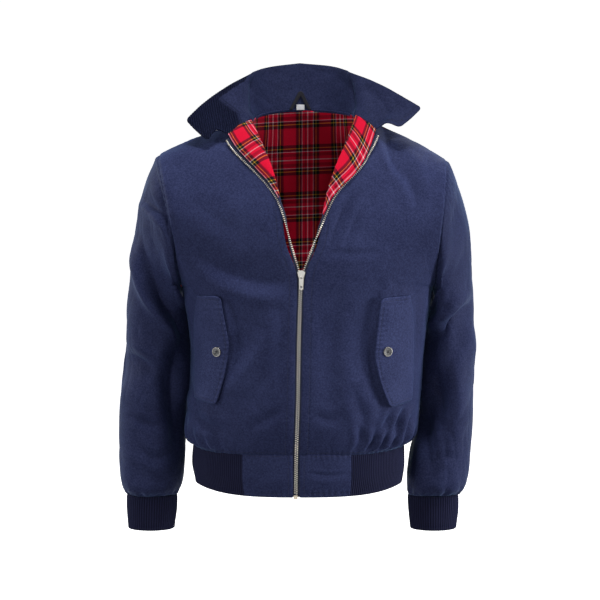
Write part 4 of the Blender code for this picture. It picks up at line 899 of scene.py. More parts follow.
def front_grid(side):
    """The front with its rolled zip edge, stitched placket, creases and tucks."""
    half = fronts[side]
    rows = body_rows()
    wide = run_lengths(half.point(*np.meshgrid(np.linspace(0, 1, 40), rows)), 1)[:, -1:]
    near = np.array(PLACKET) / wide
    t = np.linspace(0.0, 1.0, FRONT_COLUMNS)[1:]
    t = t + 0.01 * np.sin(2 * math.pi * t)
    u = np.concatenate([near, near[:, -1:] + (1 - near[:, -1:]) * t], axis=1)
    k = np.tile(rows[:, None], (1, u.shape[1]))
    grid = half.point(u, k)
    normals = half.normal(u, k)
    from_zip = u * wide
    from_side = (1 - u) * wide
    _, _, rise, from_top = to_edges(grid)
    depth = folds(grid[..., 0], grid[..., 2], BODY_CREASES["front_" + side])
    depth += tuck_depth(u, rise, WAIST_TUCKS["front_" + side])
    depth += 0.8 * ripple(grid, 60.0, seed=3) + 0.6 * crumple(grid, 34.0, seed=4)
    depth *= ease(from_zip / 20.0)
    depth += 0.35 * puckers(grid[..., 2], from_zip - STITCH_FROM_ZIP, 9.0, 5.0)
    depth += puckers(grid[..., 0], rise - 3.0, 8.0, 7.0)
    depth += side_gathers(grid, k, from_side) + seam_dips(k, from_side, rise, from_top)
    depth += dip(from_zip, 0.9, 1.1) + dip(from_zip - STITCH_FROM_ZIP, 0.45, 0.8)
    grid = grid - normals * depth[..., None]
    grid[0, :, 2] -= SEWN_UNDER
    return grid, [
        sewn_line(grid, normals, from_zip, STITCH_FROM_ZIP),
        sewn_line(grid, normals, rise, STITCH_FROM_WAIST, slice(8, None), down=True)]


for side in SIDES:
    grid, sewn = front_grid(side)
    piece = cloth_sheet("front_cloth_" + side, grid, [NAVY, TARTAN], outward(grid))
    dress(piece, "front_" + side)
    stitches("front_stitches_" + side, sewn)


def back_grid():
    """Both back halves as one sheet, with its creases, tucks and seam edges."""
    u, k = np.meshgrid(np.linspace(0.0, 1.0, BACK_COLUMNS), body_rows())
    parts = []
    for half in backs.values():
        grid = half.point(u, k)
        across, _, rise, from_top = to_edges(grid)
        wide = across[:, -1:]
        from_side = (1 - u) * wide
        depth = tuck_depth(u, rise, WAIST_TUCKS["back"])
        depth += folds(grid[..., 0], grid[..., 2], BODY_CREASES["back"])
        fade = ease(0.15 + u * wide / 30.0)
        depth += 0.8 * ripple(grid, 60.0, seed=5) + 0.8 * crumple(grid, 36.0, seed=6) * fade
        depth += side_gathers(grid, k, from_side)
        over_lining = ease((1.15 * LINING_SHARE - u) / 0.12) * ease((k + 1.6) / 0.8)
        depth = np.where(depth > 0, depth * (1 - 1.25 * over_lining), depth)
        depth += seam_dips(k, from_side, rise, from_top)
        grid = grid - half.normal(np.maximum(u, 0.004), k) * depth[..., None]
        grid[0, :, 2] -= SEWN_UNDER
        parts.append(grid)
    return both_halves(*parts)


grid = back_grid()
piece = cloth_sheet("back_cloth", grid, [NAVY, TARTAN], outward(grid))
dress(piece, "back")


# ------------------------------------------------------------------ sleeves
# Set-in sleeves of the same twill, in a darker copy that paints their shade. The cloth breaks
# into slanting creases at the upper arm and the elbow, and is gathered into the cuff.

SLEEVE_RINGS = {
    "right": np.array((
        # outer x, outer z, inner x, inner z, middle y, half depth
        (-233, -50, -194, -268, 3, 88), (-241, -64, -197, -281, 7, 89),
        (-253, -92, -196, -294, 13, 88), (-264, -128, -185.5, -309, 22, 86),
        (-274.5, -175, -181.5, -330, 29, 83), (-281.5, -230, -180.5, -356, 34, 80),
        (-287, -284, -179, -383, 36, 78), (-291, -340, -178.5, -415, 37, 76),
        (-295, -394, -182, -448, 36, 74), (-301, -450, -189, -482, 33, 72),
        (-303, -505, -191, -520, 28, 69), (-303.5, -550, -192, -555, 22, 65),
        (-301.5, -583, -194, -583, 16, 60), (-298, -602, -197.5, -600, 11, 53),
        (-293, -611, -202, -610, 8, 41), (-289, -615, -204.5, -615, 7, 28),
    ), float),
    "left": np.array((
        (241, -58, 219, -268, 3, 88), (248, -71, 221, -282, 7, 89),
        (258, -94, 220, -296, 13, 88), (268, -122, 213.5, -311, 20, 86),
        (277, -158, 209, -332, 27, 83), (284, -203, 204, -358, 33, 80),
        (287.5, -254, 200.5, -386, 36, 78), (291, -310, 198.5, -418, 37, 76),
        (292, -366, 197, -449, 36, 74), (291, -425, 197, -480, 33, 72),
        (290, -483, 194, -507, 28, 69), (287, -536, 184, -538, 22, 65),
        (282.5, -577, 179, -572, 16, 60), (277, -601, 178.5, -596, 11, 53),
        (270, -611, 179.5, -608, 8, 41), (264.5, -615, 180.5, -615, 7, 28),
    ), float),
}
LAST_RING = 15
SLEEVE_UNDER = 6.0      # how far the sleeve's edge goes inside the armhole
SLEEVE_FOLDS = {
    "right": (
        # angle 1, ring 1, angle 2, ring 2, depth mm, width degrees, width rings
        (20, 1.5, 110, 4.5, 4.0, 22, 1.0), (0, 8.0, 70, 9.3, 5.0, 20, 0.8),
        (150, 6.0, 70, 10.0, 5.0, 22, 0.9), (40, 11.4, 130, 12.2, 3.5, 24, 0.6),
        (230, 3.0, 330, 6.0, 4.5, 26, 1.1), (200, 8.0, 300, 9.5, 4.5, 24, 0.9),
    ),
    "left": (
        (30, 2.0, 110, 4.0, 3.5, 22, 1.0), (15, 6.2, 125, 8.6, 6.0, 20, 0.8),
        (120, 8.6, 160, 10.4, 6.0, 24, 1.0), (30, 11.2, 120, 12.3, 3.5, 24, 0.6),
        (230, 4.0, 320, 6.5, 4.5, 26, 1.1), (210, 8.4, 310, 9.6, 4.5, 24, 0.9),
    ),
}
SLEEVE_CREASES = {
    "right": {
        "front": (
            ((-261, -120, -235, -137, -212, -155, -202, -180), 13.0, 6, 26),
            ((-271, -169, -258, -227, -233, -280, -202, -316, -185, -353), 18.0, 8, 32),
            ((-280, -185, -269, -240, -244, -296, -214, -333), -4.0, 8, 8),
            ((-288, -378, -264, -387, -235, -401), 12.0, 28, 9),
            ((-190, -349, -206, -402, -204, -476, -196, -561), 12.2, 13, 15),
            ((-274, -480, -252, -484, -232, -494), 4.2, 8, 4),
            ((-236, -63, -225, -100, -213, -141), 6, 8, 9),
            ((-225, -406, -217, -455, -227, -504), 4.5, 12, 14),
            ((-215, -210, -202, -243, -191, -284), -3.6, 12, 12),
            ((-264, -529, -240, -545, -211, -541), 4.2, 9, 7),
            ((-248, -443, -264, -472, -276, -504), -2.1, 12, 12),
        ),
        "back": (
            ((-205, -290, -240, -262, -275, -240), 9.6, 9, 22),
            ((-198, -345, -240, -348, -284, -330), 12.2, 10, 26),
            ((-203, -400, -245, -392, -287, -370), 9.6, 9, 20),
            ((-222, -470, -250, -462, -282, -440), 7, 9, 16),
            ((-212, -548, -226, -510, -250, -470), 6.3, 12, 9),
            ((-236, -130, -228, -190, -206, -240), 7, 9, 18),
            ((-268, -480, -262, -530, -270, -575), 5.2, 10, 10),
            ((-262, -170, -270, -205, -262, -240), -3.1, 12, 12),
        ),
    },
    "left": {
        "front": (
            ((285, -294, 260, -317, 228, -341, 198, -368), 19.0, 11, 26),
            ((280, -279, 258, -299, 230, -320, 204, -343), -5.0, 9, 8),
            ((222, -392, 225, -451, 218, -512), 13.1, 15, 18),
            ((222, -272, 215, -294, 216, -316), 5.2, 5, 6),
            ((235, -239, 224, -259, 215, -284), 3.5, 6, 7),
            ((197, -455, 204, -512, 216, -570), 7, 10, 10),
            ((232, -80, 227, -129, 222, -186), 4.9, 7, 9),
            ((254, -398, 260, -455, 252, -512), -3.9, 12, 12),
            ((276, -455, 260, -484, 240, -504), 3.5, 8, 8),
            ((258, -120, 248, -153, 231, -186), 4.2, 12, 14),
            ((272, -202, 260, -231, 240, -251), 3.9, 12, 14),
            ((219, -561, 235, -545, 260, -549), 3.5, 7, 7),
        ),
        "back": (
            ((215, -300, 245, -268, 275, -250), 9.6, 22, 9),
            ((206, -350, 245, -352, 284, -335), 12.2, 26, 10),
            ((213, -412, 250, -402, 286, -380), 9.6, 20, 9),
            ((220, -480, 250, -468, 277, -450), 7, 16, 9),
            ((203, -548, 218, -515, 240, -480), 6.3, 9, 12),
            ((244, -130, 238, -190, 222, -240), 7, 18, 9),
            ((262, -480, 258, -530, 264, -575), 5.2, 10, 10),
            ((268, -170, 276, -205, 268, -240), -3.1, 12, 12),
        ),
    },
}
CUFF_GATHERS = (
    # angle round the cuff, depth, width in degrees, reach in rings
    (12, 2.4, 6, 2.0), (34, 3.2, 7, 2.8), (52, 2.6, 6, 1.9), (71, 3.6, 7, 3.2),
    (92, 2.8, 6, 2.2), (109, 3.4, 7, 3.0), (131, 2.4, 6, 1.8), (152, 3.0, 7, 2.4),
    (180, 2.6, 7, 2.0), (206, 3.2, 7, 2.6), (231, 2.6, 7, 2.0), (255, 3.4, 8, 3.0),
    (281, 2.8, 7, 2.2), (304, 3.2, 7, 2.7), (331, 2.6, 7, 2.0), (352, 2.6, 6, 2.2),
)
SLEEVE_COLUMNS = 168
SLEEVE_ROWS = 230


def sleeve_fold_depth(side, angle, ring):
    """Broad troughs between two places on the sleeve, each a Gaussian across its line."""
    total = np.zeros_like(angle)
    for angle_1, ring_1, angle_2, ring_2, depth, wide, tall in SLEEVE_FOLDS[side]:
        along = np.array([(angle_2 - angle_1) / wide, (ring_2 - ring_1) / tall])
        from_start = np.stack([(angle - angle_1) / wide, (ring - ring_1) / tall], axis=-1)
        share = np.clip((from_start * along).sum(-1) / (along ** 2).sum(), 0, 1)
        off = from_start - share[..., None] * along
        total += depth * np.exp(-(off ** 2).sum(-1)) * np.sin(math.pi * (0.15 + 0.7 * share))
    return total


def sleeve_point(side, angle, ring):
    """Slanted oval rings from the armhole (ring 0) to the cuff (ring 15); the angle is 0 on
    the outer side and 90 in front."""
    section = table_rows(SLEEVE_RINGS[side], ring)
    outer_x, outer_z, inner_x, inner_z, middle_y, half_depth = np.moveaxis(section, -1, 0)
    a = np.radians(angle)
    middle = np.stack([(outer_x + inner_x) / 2, middle_y, (outer_z + inner_z) / 2], axis=-1)
    toward_outer = np.stack([(outer_x - inner_x) / 2, 0 * a, (outer_z - inner_z) / 2], axis=-1)
    places = middle + toward_outer * np.cos(a)[..., None]
    places[..., 1] -= half_depth * np.sin(a)
    bow = ARMHOLE_BOW[side] * np.sin(a) ** 2 * np.clip(1 - ring / 3.0, 0, 1)
    places[..., 0] -= SIDES[side] * bow
    room = ease(ring) * ease((LAST_RING - ring) / 2.0)
    sink = sleeve_fold_depth(side, angle, ring) * room
    return places + unit(middle - places) * sink[..., None], middle


def gather_depth(angle, from_cuff):
    """Narrow tucks round the end of the sleeve, deepest 0.9 of a ring above the cuff."""
    total = np.zeros_like(angle)
    for at, depth, width, reach in CUFF_GATHERS:
        off = np.abs((angle - at + 180) % 360 - 180) / (width * (1 + 0.5 * from_cuff / reach))
        up = ease(from_cuff / 0.9) * np.clip(1 - (from_cuff - 0.9) / reach, 0, 1) ** 1.5
        total += depth * up * (np.exp(-off ** 2) - 0.3 * np.exp(-(off - 1.8) ** 2))
    return total


def sleeve_grid(side):
    """The ring surface with its creases and gathers sunk into it along the normals."""
    probe = np.linspace(0, LAST_RING, 400)
    length = run_lengths(sleeve_point(side, np.full(400, 90.0), probe)[0], 0)
    rows = np.interp(np.linspace(0, length[-1], SLEEVE_ROWS), length, probe)
    angle, ring = np.meshgrid(np.arange(SLEEVE_COLUMNS) * 360.0 / SLEEVE_COLUMNS, rows)
    grid, middle = sleeve_point(side, angle, ring)
    normals = normals_towards(grid - middle, grid, True)
    sine, cosine = np.sin(np.radians(angle)), np.cos(np.radians(angle))
    outline = np.where(cosine > 0, 0.3, 0.0)
    depth = gather_depth(angle, LAST_RING - ring)
    for name, share in (("front", ease(outline + 1.4 * sine)),
                        ("back", ease(outline - 1.4 * sine))):
        depth += share * folds(grid[..., 0], grid[..., 2], SLEEVE_CREASES[side][name])
    _, _, rise, from_cuff = to_edges(grid)
    inner = ease(0.5 - 2.0 * cosine) * ease((8.0 - ring) / 3.0)
    uneven = 0.5 * ripple(grid, 70.0, seed=7) + 1.0 * crumple(grid, 34.0, seed=8)
    depth += uneven * ease(rise / 30.0) * (1 - 0.7 * inner)
    depth *= ease(rise / 12.0)
    depth += puckers(np.radians(angle) * 110.0, rise - 3.0, 12.0, 14.0)
    depth += dip(rise, 2.4, 3.0) + dip(from_cuff, 0.8, 2.0)
    grid = grid - normals * depth[..., None]
    turned_in = grid[:1] - np.array([SLEEVE_UNDER * SIDES[side], 0.0, 0.0])
    hint = grid - middle
    return np.concatenate([turned_in, grid]), np.concatenate([hint[:1], hint])


# a darker copy of the twill, painted shade over both sleeves
SHADED_SLEEVE_NAVY = navy_twill("sleeve_twill_painted_shade", (0.0150, 0.0186, 0.0535), (0.0325, 0.0405, 0.104))

for side in SIDES:
    grid, hint = sleeve_grid(side)
    piece = cloth_sheet("sleeve_cloth_" + side, grid, [SHADED_SLEEVE_NAVY], hint, closed=True)
    dress(piece, "sleeve_" + side)


# ------------------------------------------------------------------ rib knit
# Cuffs and hem band of doubled two-by-two rib in a darker navy, folded at the lower edge
# and sewn on at the upper. The hem band ends in plain twill each side of the zip.

RIB_WALL = 2.4
RIB_DEPTH = 0.95
RIB_PITCH = 3.5
KNIT_HEIGHT = 64.0      # of the hem band's knitted part
PLAIN_HEIGHT = 70.0     # of its plain ends
CUFF_TOP = -615.0
CUFF_BOTTOM = -673.0
CUFF_HALF_WIDTH = (42.2, 38.8)
CUFF_HALF_DEPTH = 27.0
CUFF_Y = 7.0
CUFF_MIDDLE = {"right": (-246.8, -249.0), "left": (222.5, 222.8)}   # x at top and bottom
HEM_LEVEL = -590.0
HEM_DIP = 7.0
HEM_PLAIN_END = {"right": -92.0, "left": 82.0}
HEM_STITCH = 7.0


def rib_knit():
    """Fine stitches on the ribs' rise and fall, with painted shade darkening the furrows between
    the ribs.
    """
    finish = Finish("rib_knit", Roughness=0.9, Sheen_Weight=0.12, Sheen_Roughness=0.6,
                    Sheen_Tint=(0.45, 0.5, 0.85, 1.0), Specular_IOR_Level=0.03)
    place = finish.place()
    loops = finish.wave(place, 280.0, 1.0)
    nap = finish.noise(place, 500.0, 2.0)
    raised = finish.blend(nap * 0.7, (0.012, 0.013, 0.038), (0.025, 0.027, 0.072))
    # painted shade: the furrows between the ribs darken to near black
    dyed = finish.blend(finish.attribute("furrow"), raised, (0.003, 0.003, 0.008))
    finish.set("Base Color", dyed)
    finish.bump(loops * 0.5 + nap * 0.4, 0.3, 0.0004)
    return finish.material


RIB = rib_knit()


def rib_height(count, share):
    """Round ridges: the set-in depth is a power of the sine across each rib."""
    return np.abs(np.sin(math.pi * count * share)) ** 0.7


def fold_under(from_edge, radius=1.8):
    """How far a doubled edge turns in near its fold, as a quarter circle."""
    t = np.clip(1 - from_edge / radius, 0, 1)
    return radius * (1 - np.sqrt(1 - t * t))


def knit_rows(plain, turned):
    """Steps down a knitted piece from 0 to 1, closer together where its edge turns in."""
    return np.concatenate([np.linspace(0, 0.94, plain), np.linspace(0.95, 1, turned)])


def mark(piece, name, values):
    """Store a number at each of the mesh's points for its material."""
    layer = piece.data.attributes.new(name, "FLOAT", "POINT")
    layer.data.foreach_set("value", values.astype(np.float32).ravel())


def cuff_grid(side):
    """Oval tube, its ribs set in and out, narrowing to the folded lower edge."""
    count = int(math.pi * (CUFF_HALF_WIDTH[0] + CUFF_HALF_DEPTH) / RIB_PITCH)
    share, down = np.meshgrid(np.arange(count * 9) / (count * 9), knit_rows(18, 8))
    top_x, bottom_x = CUFF_MIDDLE[side]
    width = CUFF_HALF_WIDTH[0] + (CUFF_HALF_WIDTH[1] - CUFF_HALF_WIDTH[0]) * down
    top = CUFF_TOP - SEAM / 2
    height = top - CUFF_BOTTOM
    ridge = rib_height(count, share)
    inset = RIB_DEPTH * (1 - ridge) + fold_under((1 - down) * height)
    inset -= 1.2 * np.sin(math.pi * down) + 0.5 * np.sin(5 * math.pi * share + 4 * down)
    inset += dip(down * height, 0.8, 2.0)
    a = 2 * math.pi * share
    x = top_x + (bottom_x - top_x) * down + (width - inset) * np.cos(a)
    y = CUFF_Y - (CUFF_HALF_DEPTH - inset) * np.sin(a)
    z = top - height * down
    # the second value marks the furrows between the ribs, where painted shade goes
    return np.stack([x, y, z], axis=-1), 1 - ridge


for side in SIDES:
    grid, furrow = cuff_grid(side)
    hint = grid - grid.mean(axis=1, keepdims=True)
    piece = cloth_sheet("cuff_knit_" + side, grid, [RIB], hint, closed=True, thickness=RIB_WALL)
    mark(piece, "furrow", furrow)
    dress(piece, "cuff_" + side)


def band_point(angle, down, inset):
    """Squared oval of the hem band: angle 0 in front, 90 on the wearer's left. It swells
    1.5 mm half way down and is drawn in 3 mm at the bottom."""
    right, left, front, back = body_section(WAIST_LEVEL)
    stand = 1.5 * np.sin(math.pi * down) - 3.0 * ease((down - 0.5) / 0.5) - inset
    sine, cosine = np.sin(np.radians(angle)), np.cos(np.radians(angle))
    reach = np.where(sine > 0, left, right) + stand
    depth = np.where(cosine > 0, front, back) + stand
    x = np.sign(sine) * reach * np.abs(sine) ** SQUARE
    y = -np.sign(cosine) * depth * np.abs(cosine) ** SQUARE
    bottom = HEM_LEVEL - HEM_DIP * ease((cosine - 0.3) / 0.7)
    top = WAIST_LEVEL - SEAM / 2
    return np.stack([x, y, top + (bottom - top) * down], axis=-1)


def band_angle(x):
    """Angle of the band whose front point lies at x."""
    right, left, _, _ = body_section(WAIST_LEVEL)
    reach = left if x > 0 else right
    return math.degrees(math.asin((abs(x) / reach) ** (1 / SQUARE))) * math.copysign(1, x)


def hem_rib_grid():
    """The knitted part of the band, ribs evenly spaced along its length."""
    start = band_angle(HEM_PLAIN_END["left"])
    end = 360.0 + band_angle(HEM_PLAIN_END["right"])
    fine = np.linspace(start, end, 1200)
    length = run_lengths(band_point(fine, 0.3, 0.0), 0)
    count = int(length[-1] / RIB_PITCH)
    share = np.linspace(0, 1, count * 6 + 1)
    angles = np.interp(share * length[-1], length, fine)
    angle, down = np.meshgrid(angles, knit_rows(14, 6))
    ridge = rib_height(count, share)[None] + 0 * down
    waver = 1.1 * np.sin(9 * np.radians(angle)) * ease((1 - down) * 2) * np.sin(math.pi * down)
    inset = RIB_DEPTH * (1 - ridge) + fold_under((1 - down) * KNIT_HEIGHT) + waver
    inset += dip(down * KNIT_HEIGHT, 0.8, 2.0)
    # the second value marks the furrows between the ribs, where painted shade goes
    return band_point(angle, down, inset), 1 - ridge


grid, furrow = hem_rib_grid()
piece = cloth_sheet("hem_knit", grid, [RIB], outward(grid), thickness=RIB_WALL)
mark(piece, "furrow", furrow)
dress(piece, "hem_rib")


def hem_front_grid(side):
    """Plain end of the band, with its stitched lower edge and a shallow crease."""
    start = band_angle(float(centre_front_x(WAIST_LEVEL)) + SIDES[side] * ZIP_TO_CLOTH)
    angle, down = np.meshgrid(np.linspace(start, band_angle(HEM_PLAIN_END[side]), 60),
                              np.linspace(0, 1, 60))
    flat = band_point(angle, down, 0.0)
    rise = (1 - down) * PLAIN_HEIGHT
    fall = PLAIN_HEIGHT - rise
    wide = run_lengths(flat, 1)
    inset = fold_under(rise) + dip(fall, 0.9, 2.2) + dip(rise - HEM_STITCH, 0.5, 0.9)
    inset += dip(wide - HEM_STITCH, 0.5, 0.9) + fold_under(wide, 1.2)
    inset += folds(flat[..., 0], flat[..., 2], (
        ((16, -556, 45, -560, 76, -557), 2.2, 5, 3),
        ((-30, -548, -50, -556, -70, -570), 1.2, 7, 7)))
    inset += puckers(flat[..., 0], fall, 8.0, 8.0)
    inset += puckers(flat[..., 0], rise - HEM_STITCH, 9.0, 5.0)
    grid = band_point(angle, down, inset)
    normals = normals_towards(outward(grid), grid)
    sewn = [sewn_line(grid, normals, wide, HEM_STITCH)]
    for at in (3.0, PLAIN_HEIGHT - HEM_STITCH):
        sewn.append(sewn_line(grid, normals, fall, at, slice(8, None), down=True))
    return grid, sewn


for side in SIDES:
    grid, sewn = hem_front_grid(side)
    piece = cloth_sheet("hem_end_" + side, grid, [NAVY], outward(grid), thickness=RIB_WALL)
    dress(piece, "hem_front_" + side)
    stitches("hem_stitches_" + side, sewn)


# ------------------------------------------------------------------ tartan linings
# The lining of the back, seen through the neck, and the lined edges of the fronts, which
# roll open above the zip and lie on the chest. They are cut with the sett along the edge.

LAPEL = {
    "right": np.array((
        # roll row, edge x, edge z, lift off the chest
        (4.8, -34, -113, 3.6), (5.4, -43, -99, 3.6), (6.1, -54, -85, 3.6),
        (7.2, -70, -69, 3.8), (8.3, -87, -52, 5.0), (9.2, -103, -34, 8.0),
        (10.0, -116, -14, 12.0),
    ), float),
    "left": np.array((
        (3.85, 36.2, -139.5, 4.2), (4.4, 41.5, -132, 3.8), (5.1, 51, -114, 3.6),
        (6.0, 68, -96, 3.6), (7.0, 86, -79, 3.8), (7.9, 99, -62, 4.6),
        (8.8, 110, -41, 7.0), (10.0, 123, -7, 12.0),
    ), float),
}
LAPEL_ROLL_HEIGHT = 4.0
ROLL_LIFT = 0.5
CHEST_OUT = np.array([0.0, -0.8, 0.6])     # the way that the lapels face
LAPEL_SETT = {
    # where the sett's middle lies: across from the free edge, up the strip, and its slant
    "right": (-9.0, 92.0, 0.25), "left": (3.5, 38.0, -0.30),
}
LINING_SETT = (13.0, -62.0, 0.05)
LINING = 1.0
LINING_GAP = 0.6        # behind the back's own cloth


def lapel_edges(side, s):
    """Roll edge and free edge of the turned-back strip, s from its foot (0) to the neck (1)."""
    half = fronts[side]
    row = table_rows(LAPEL[side], s * (len(LAPEL[side]) - 1))
    roll = half.lifted(np.zeros_like(s), row[:, 0], np.full_like(s, ROLL_LIFT + CLOTH))
    u, k = half.seen_at(row[:, 1], row[:, 2], row[:, 3] + CLOTH)
    return roll, half.lifted(u, k, row[:, 3] + CLOTH)


def lapel_point(side, across, s):
    """Straight lines from roll edge to free edge, arched forward in between."""
    roll, free = lapel_edges(side, s)
    places = roll[:, None] + (free - roll)[:, None] * across[None, :, None]
    height = LAPEL_ROLL_HEIGHT * ease(np.linalg.norm(free - roll, axis=1) / 40.0)
    hump = np.sin(math.pi * across ** 0.8)
    return places + CHEST_OUT * (height[:, None] * hump)[..., None]


for side in SIDES:
    grid = lapel_point(side, np.linspace(0, 1, 40), np.linspace(0, 1, 110))
    grid = grid + CHEST_OUT * (0.5 * ripple(grid, 30.0, seed=11))[..., None]
    _, across, up, _ = to_edges(grid)
    up = up[:, -1:] + 0 * across
    middle_across, middle_up, slant = LAPEL_SETT[side]
    lengths = (across - middle_across, up - middle_up + slant * across)
    piece = cloth_sheet("facing_tartan_" + side, grid, [TARTAN], CHEST_OUT, lengths=lengths)
    dress(piece, "facing_" + side)


def back_sheet(share, rows, columns):
    """A sheet over the middle of the back, from the wearer's right to the left."""
    u, k = np.meshgrid(np.linspace(0, share, columns), rows)
    return both_halves(backs["right"].point(u, k), backs["left"].point(u, k))


grid = back_sheet(LINING_SHARE, np.linspace(-1.0, SHOULDER_ROW, 90), 50)
normals = normals_towards(outward(grid), grid)
uneven = 0.5 * ripple(grid, 60.0, seed=13) + 0.5
grid = grid - normals * (CLOTH + LINING_GAP + uneven)[..., None]
across = run_lengths(grid, 1)
across = across - across[:, [across.shape[1] // 2]]
middle_x, middle_z, slant = LINING_SETT
lengths = (across - middle_x, grid[..., 2] - middle_z - slant * grid[..., 0])
# the last rows draw back a little from the neck seam
grid[-3:] = grid[[-3, -3, -3]] + (grid[[-3, -2, -1]] - grid[[-3, -3, -3]]) * 0.85
piece = cloth_sheet("lining_tartan", grid, [TARTAN], -outward(grid), thickness=LINING,
                    lengths=lengths)
dress(piece, "lining_back")


# ------------------------------------------------------------------ collar
# Two layers of twill with interlining, turned up, its wings spread over the shoulders. The
# wearer's right wing is stitched in close rows; the other is topstitched twice at its edge.

COLLAR_WALL = 2.4
COLLAR_NECK_ANGLES = (0.0, 36.0, 72.0, 90.0)
COLLAR_FIRST_LAPEL = 3
COLLAR_LAPEL_STATIONS = 3
COLLAR_LOOSE_SEAM = {
    "right": ((-134, -41, -8), (-150, -50, -25)),
    "left": ((139, -42, 3), (161, -50, -4)),
}
COLLAR_FREE_EDGE = {
    "right": np.array((
        # x, y, z
        (0, 99, 101), (-48, 88, 95), (-73, 60, 87.5), (-83, 45, 82), (-110, 20, 68),
        (-137, 4, 51), (-158, -8, 35), (-172, -16, 22), (-186, -24, 8),
    ), float),
    "left": np.array((
        (0, 99, 101), (50, 88, 96), (74, 59, 89), (83, 45, 85), (117, 20, 72),
        (141, 4, 60), (163, -8, 48), (180, -16, 38), (198, -24, 28),
    ), float),
}
NECK_MITRE = (0.0, 0.75, -0.65)
COLLAR_OUT = np.array([0.0, -1.0, 0.3])    # the way that its face looks
COLLAR_BOW = 5.0
COLLAR_CORNER = 7.0
COLLAR_UNDER = 1.6      # how far its edge goes behind the back of the neck
COLLAR_VALLEY = 2.6     # station where it folds as it turns to the front
FAR_AWAY = 99.0         # distance to a seam where there is none to finish
COLLAR_FINE = {"right": 48, "left": 20}      # columns per station
QUILT_EDGE = (
    # height share up the collar, station where the stitched rows begin
    (0.0, 4.35), (0.3, 4.3), (0.6, 4.75), (0.85, 5.05), (0.9, 3.3), (1.0, 3.1),
)
QUILT_PITCH = 3.6
QUILT_LEAN = 0.22           # of the rows towards the middle, by height
QUILT_LINES = (0.0, -0.13)  # stations of the two lines that bound them, beyond the edge
QUILT_TOP = 0.88


def lapel_seam(side, across):
    """The collar's seam edge along the top of the lapel, half a seam clear of it."""
    top = lapel_point(side, across, np.array([1.0]))[0]
    across_seam = unit(np.cross(top[-1] - top[0], NECK_MITRE))
    return top + across_seam * np.sign(across_seam[2]) * SEAM / 2


def neck_seam(side, angle):
    """The collar's seam edge round the back of the neck, just above the back's edge."""
    edge = backs[side].top_edge(angle / 90.0 * NECK_SHARE)
    return edge - unit(edge * LEVEL) * CLOTH + SEAM * UP


def collar_half(side):
    """Lines from the seam edge to the free edge, bowed out, station by station from the
    middle of the back to the tip; the tip's corners are squares mapped to quarter discs."""
    free_table = COLLAR_FREE_EDGE[side]
    last_station = len(free_table) - 1
    at = np.linspace(0, last_station, last_station * COLLAR_FINE[side] + 1)
    first = COLLAR_FIRST_LAPEL
    last = first + COLLAR_LAPEL_STATIONS
    angle = np.interp(at[at < first], np.arange(first + 1), COLLAR_NECK_ANGLES)
    share = (at[(at >= first) & (at <= last)] - first) / COLLAR_LAPEL_STATIONS
    on_lapel = lapel_seam(side, share)
    loose = np.concatenate([on_lapel[-1:], np.array(COLLAR_LOOSE_SEAM[side], float)])
    beyond = table_rows(loose, at[at > last] - last)
    seam = np.concatenate([neck_seam(side, angle), on_lapel, beyond])
    free = table_rows(free_table, at)
    up = np.linspace(0, 1, 56)[:, None, None]
    half = seam + (free - seam) * up
    half = half + np.array([0.0, 0.35, -0.3]) * COLLAR_BOW * np.sin(math.pi * up)
    _, to_end, to_seam, to_free = to_edges(half)
    back_along = -unit(np.gradient(half, axis=1))
    upward = unit(np.gradient(half, axis=0))
    for distance, way in ((to_free, -upward), (np.where(at > last, to_seam, FAR_AWAY), upward)):
        along, inward = corner_moves(COLLAR_CORNER, to_end, distance)
        half = half + back_along * along + way * inward
    return half, at[None] + 0 * to_end, to_end, to_free, to_seam


def collar_relief(side, half, at, to_end, to_free, to_seam):
    """Depth of the folds, stitched lines and ridges below the collar's face, how far a point
    is into the stitched rows, and how much painted shade it takes in the grooves between them."""
    depth = 0.6 * ripple(half, 34.0, seed=17) + 0.5 * crumple(half, 24.0, seed=18)
    depth += dip(at - COLLAR_VALLEY, 7.0, 0.5) * ease(to_seam / 30.0) * ease(to_free / 30.0)
    depth *= ease(to_seam / 10.0)
    up = to_seam / np.maximum(to_seam + to_free, 1e-6)
    edge = np.minimum(to_free, to_end)
    loose = at > COLLAR_FIRST_LAPEL + COLLAR_LAPEL_STATIONS
    lower = np.where(loose, to_seam, FAR_AWAY)
    rows = np.zeros_like(at)
    # painted shade along the turned free edge, then in the grooves between stitched rows and on
    # the stitched lines
    furrow = dip(to_free, 1.0, 1.1)
    if side == "right":
        table = np.array(QUILT_EDGE)
        begins = np.interp(up, table[:, 0], table[:, 1])
        rows = ease((at - begins) / 0.10)
        lean = half[..., 0] + QUILT_LEAN * half[..., 2] + 0.8 * ripple(half, 40.0, seed=23)
        wave = 0.5 + 0.5 * np.cos(2 * math.pi * lean / QUILT_PITCH)
        depth = depth * (1 - 0.5 * rows) + rows * 1.1 * wave
        furrow = np.maximum(furrow, rows * wave ** 2)
        for shift in QUILT_LINES:
            line = dip(at - begins - shift, 1.0, 0.035) * (up < QUILT_TOP)
            depth += 0.7 * line
            furrow = np.maximum(furrow, 0.7 * line)
    else:
        for line in COLLAR_STITCHES:
            depth += dip(np.minimum(to_end, lower) - line, 0.5, 0.8)
        depth += folds(half[..., 0], half[..., 2], COLLAR_DRAGS)
    return depth + fold_under(np.minimum(edge, lower), 1.2), rows, furrow


COLLAR_STITCHES = (8.0, 10.6)   # from the edge
COLLAR_DRAGS = (
    ((106, 66, 118, 40, 128, 8), 3.0, 7, 11), ((112, 64, 134, 36, 152, 4), 2.4, 7, 9),
    ((150, 44, 158, 26, 160, 8), 1.6, 7, 7), ((60, 80, 78, 60, 84, 30), 2.4, 8, 10),
)
# a darker copy of the twill, painted shade over the whole collar; its stitched rows darker still
# as painted shade
SHADED_COLLAR_NAVY = navy_twill("collar_twill_painted_shade", (0.012, 0.0150, 0.043), (0.027, 0.0335, 0.086),
                         rows=(0.0035, 0.0045, 0.017))

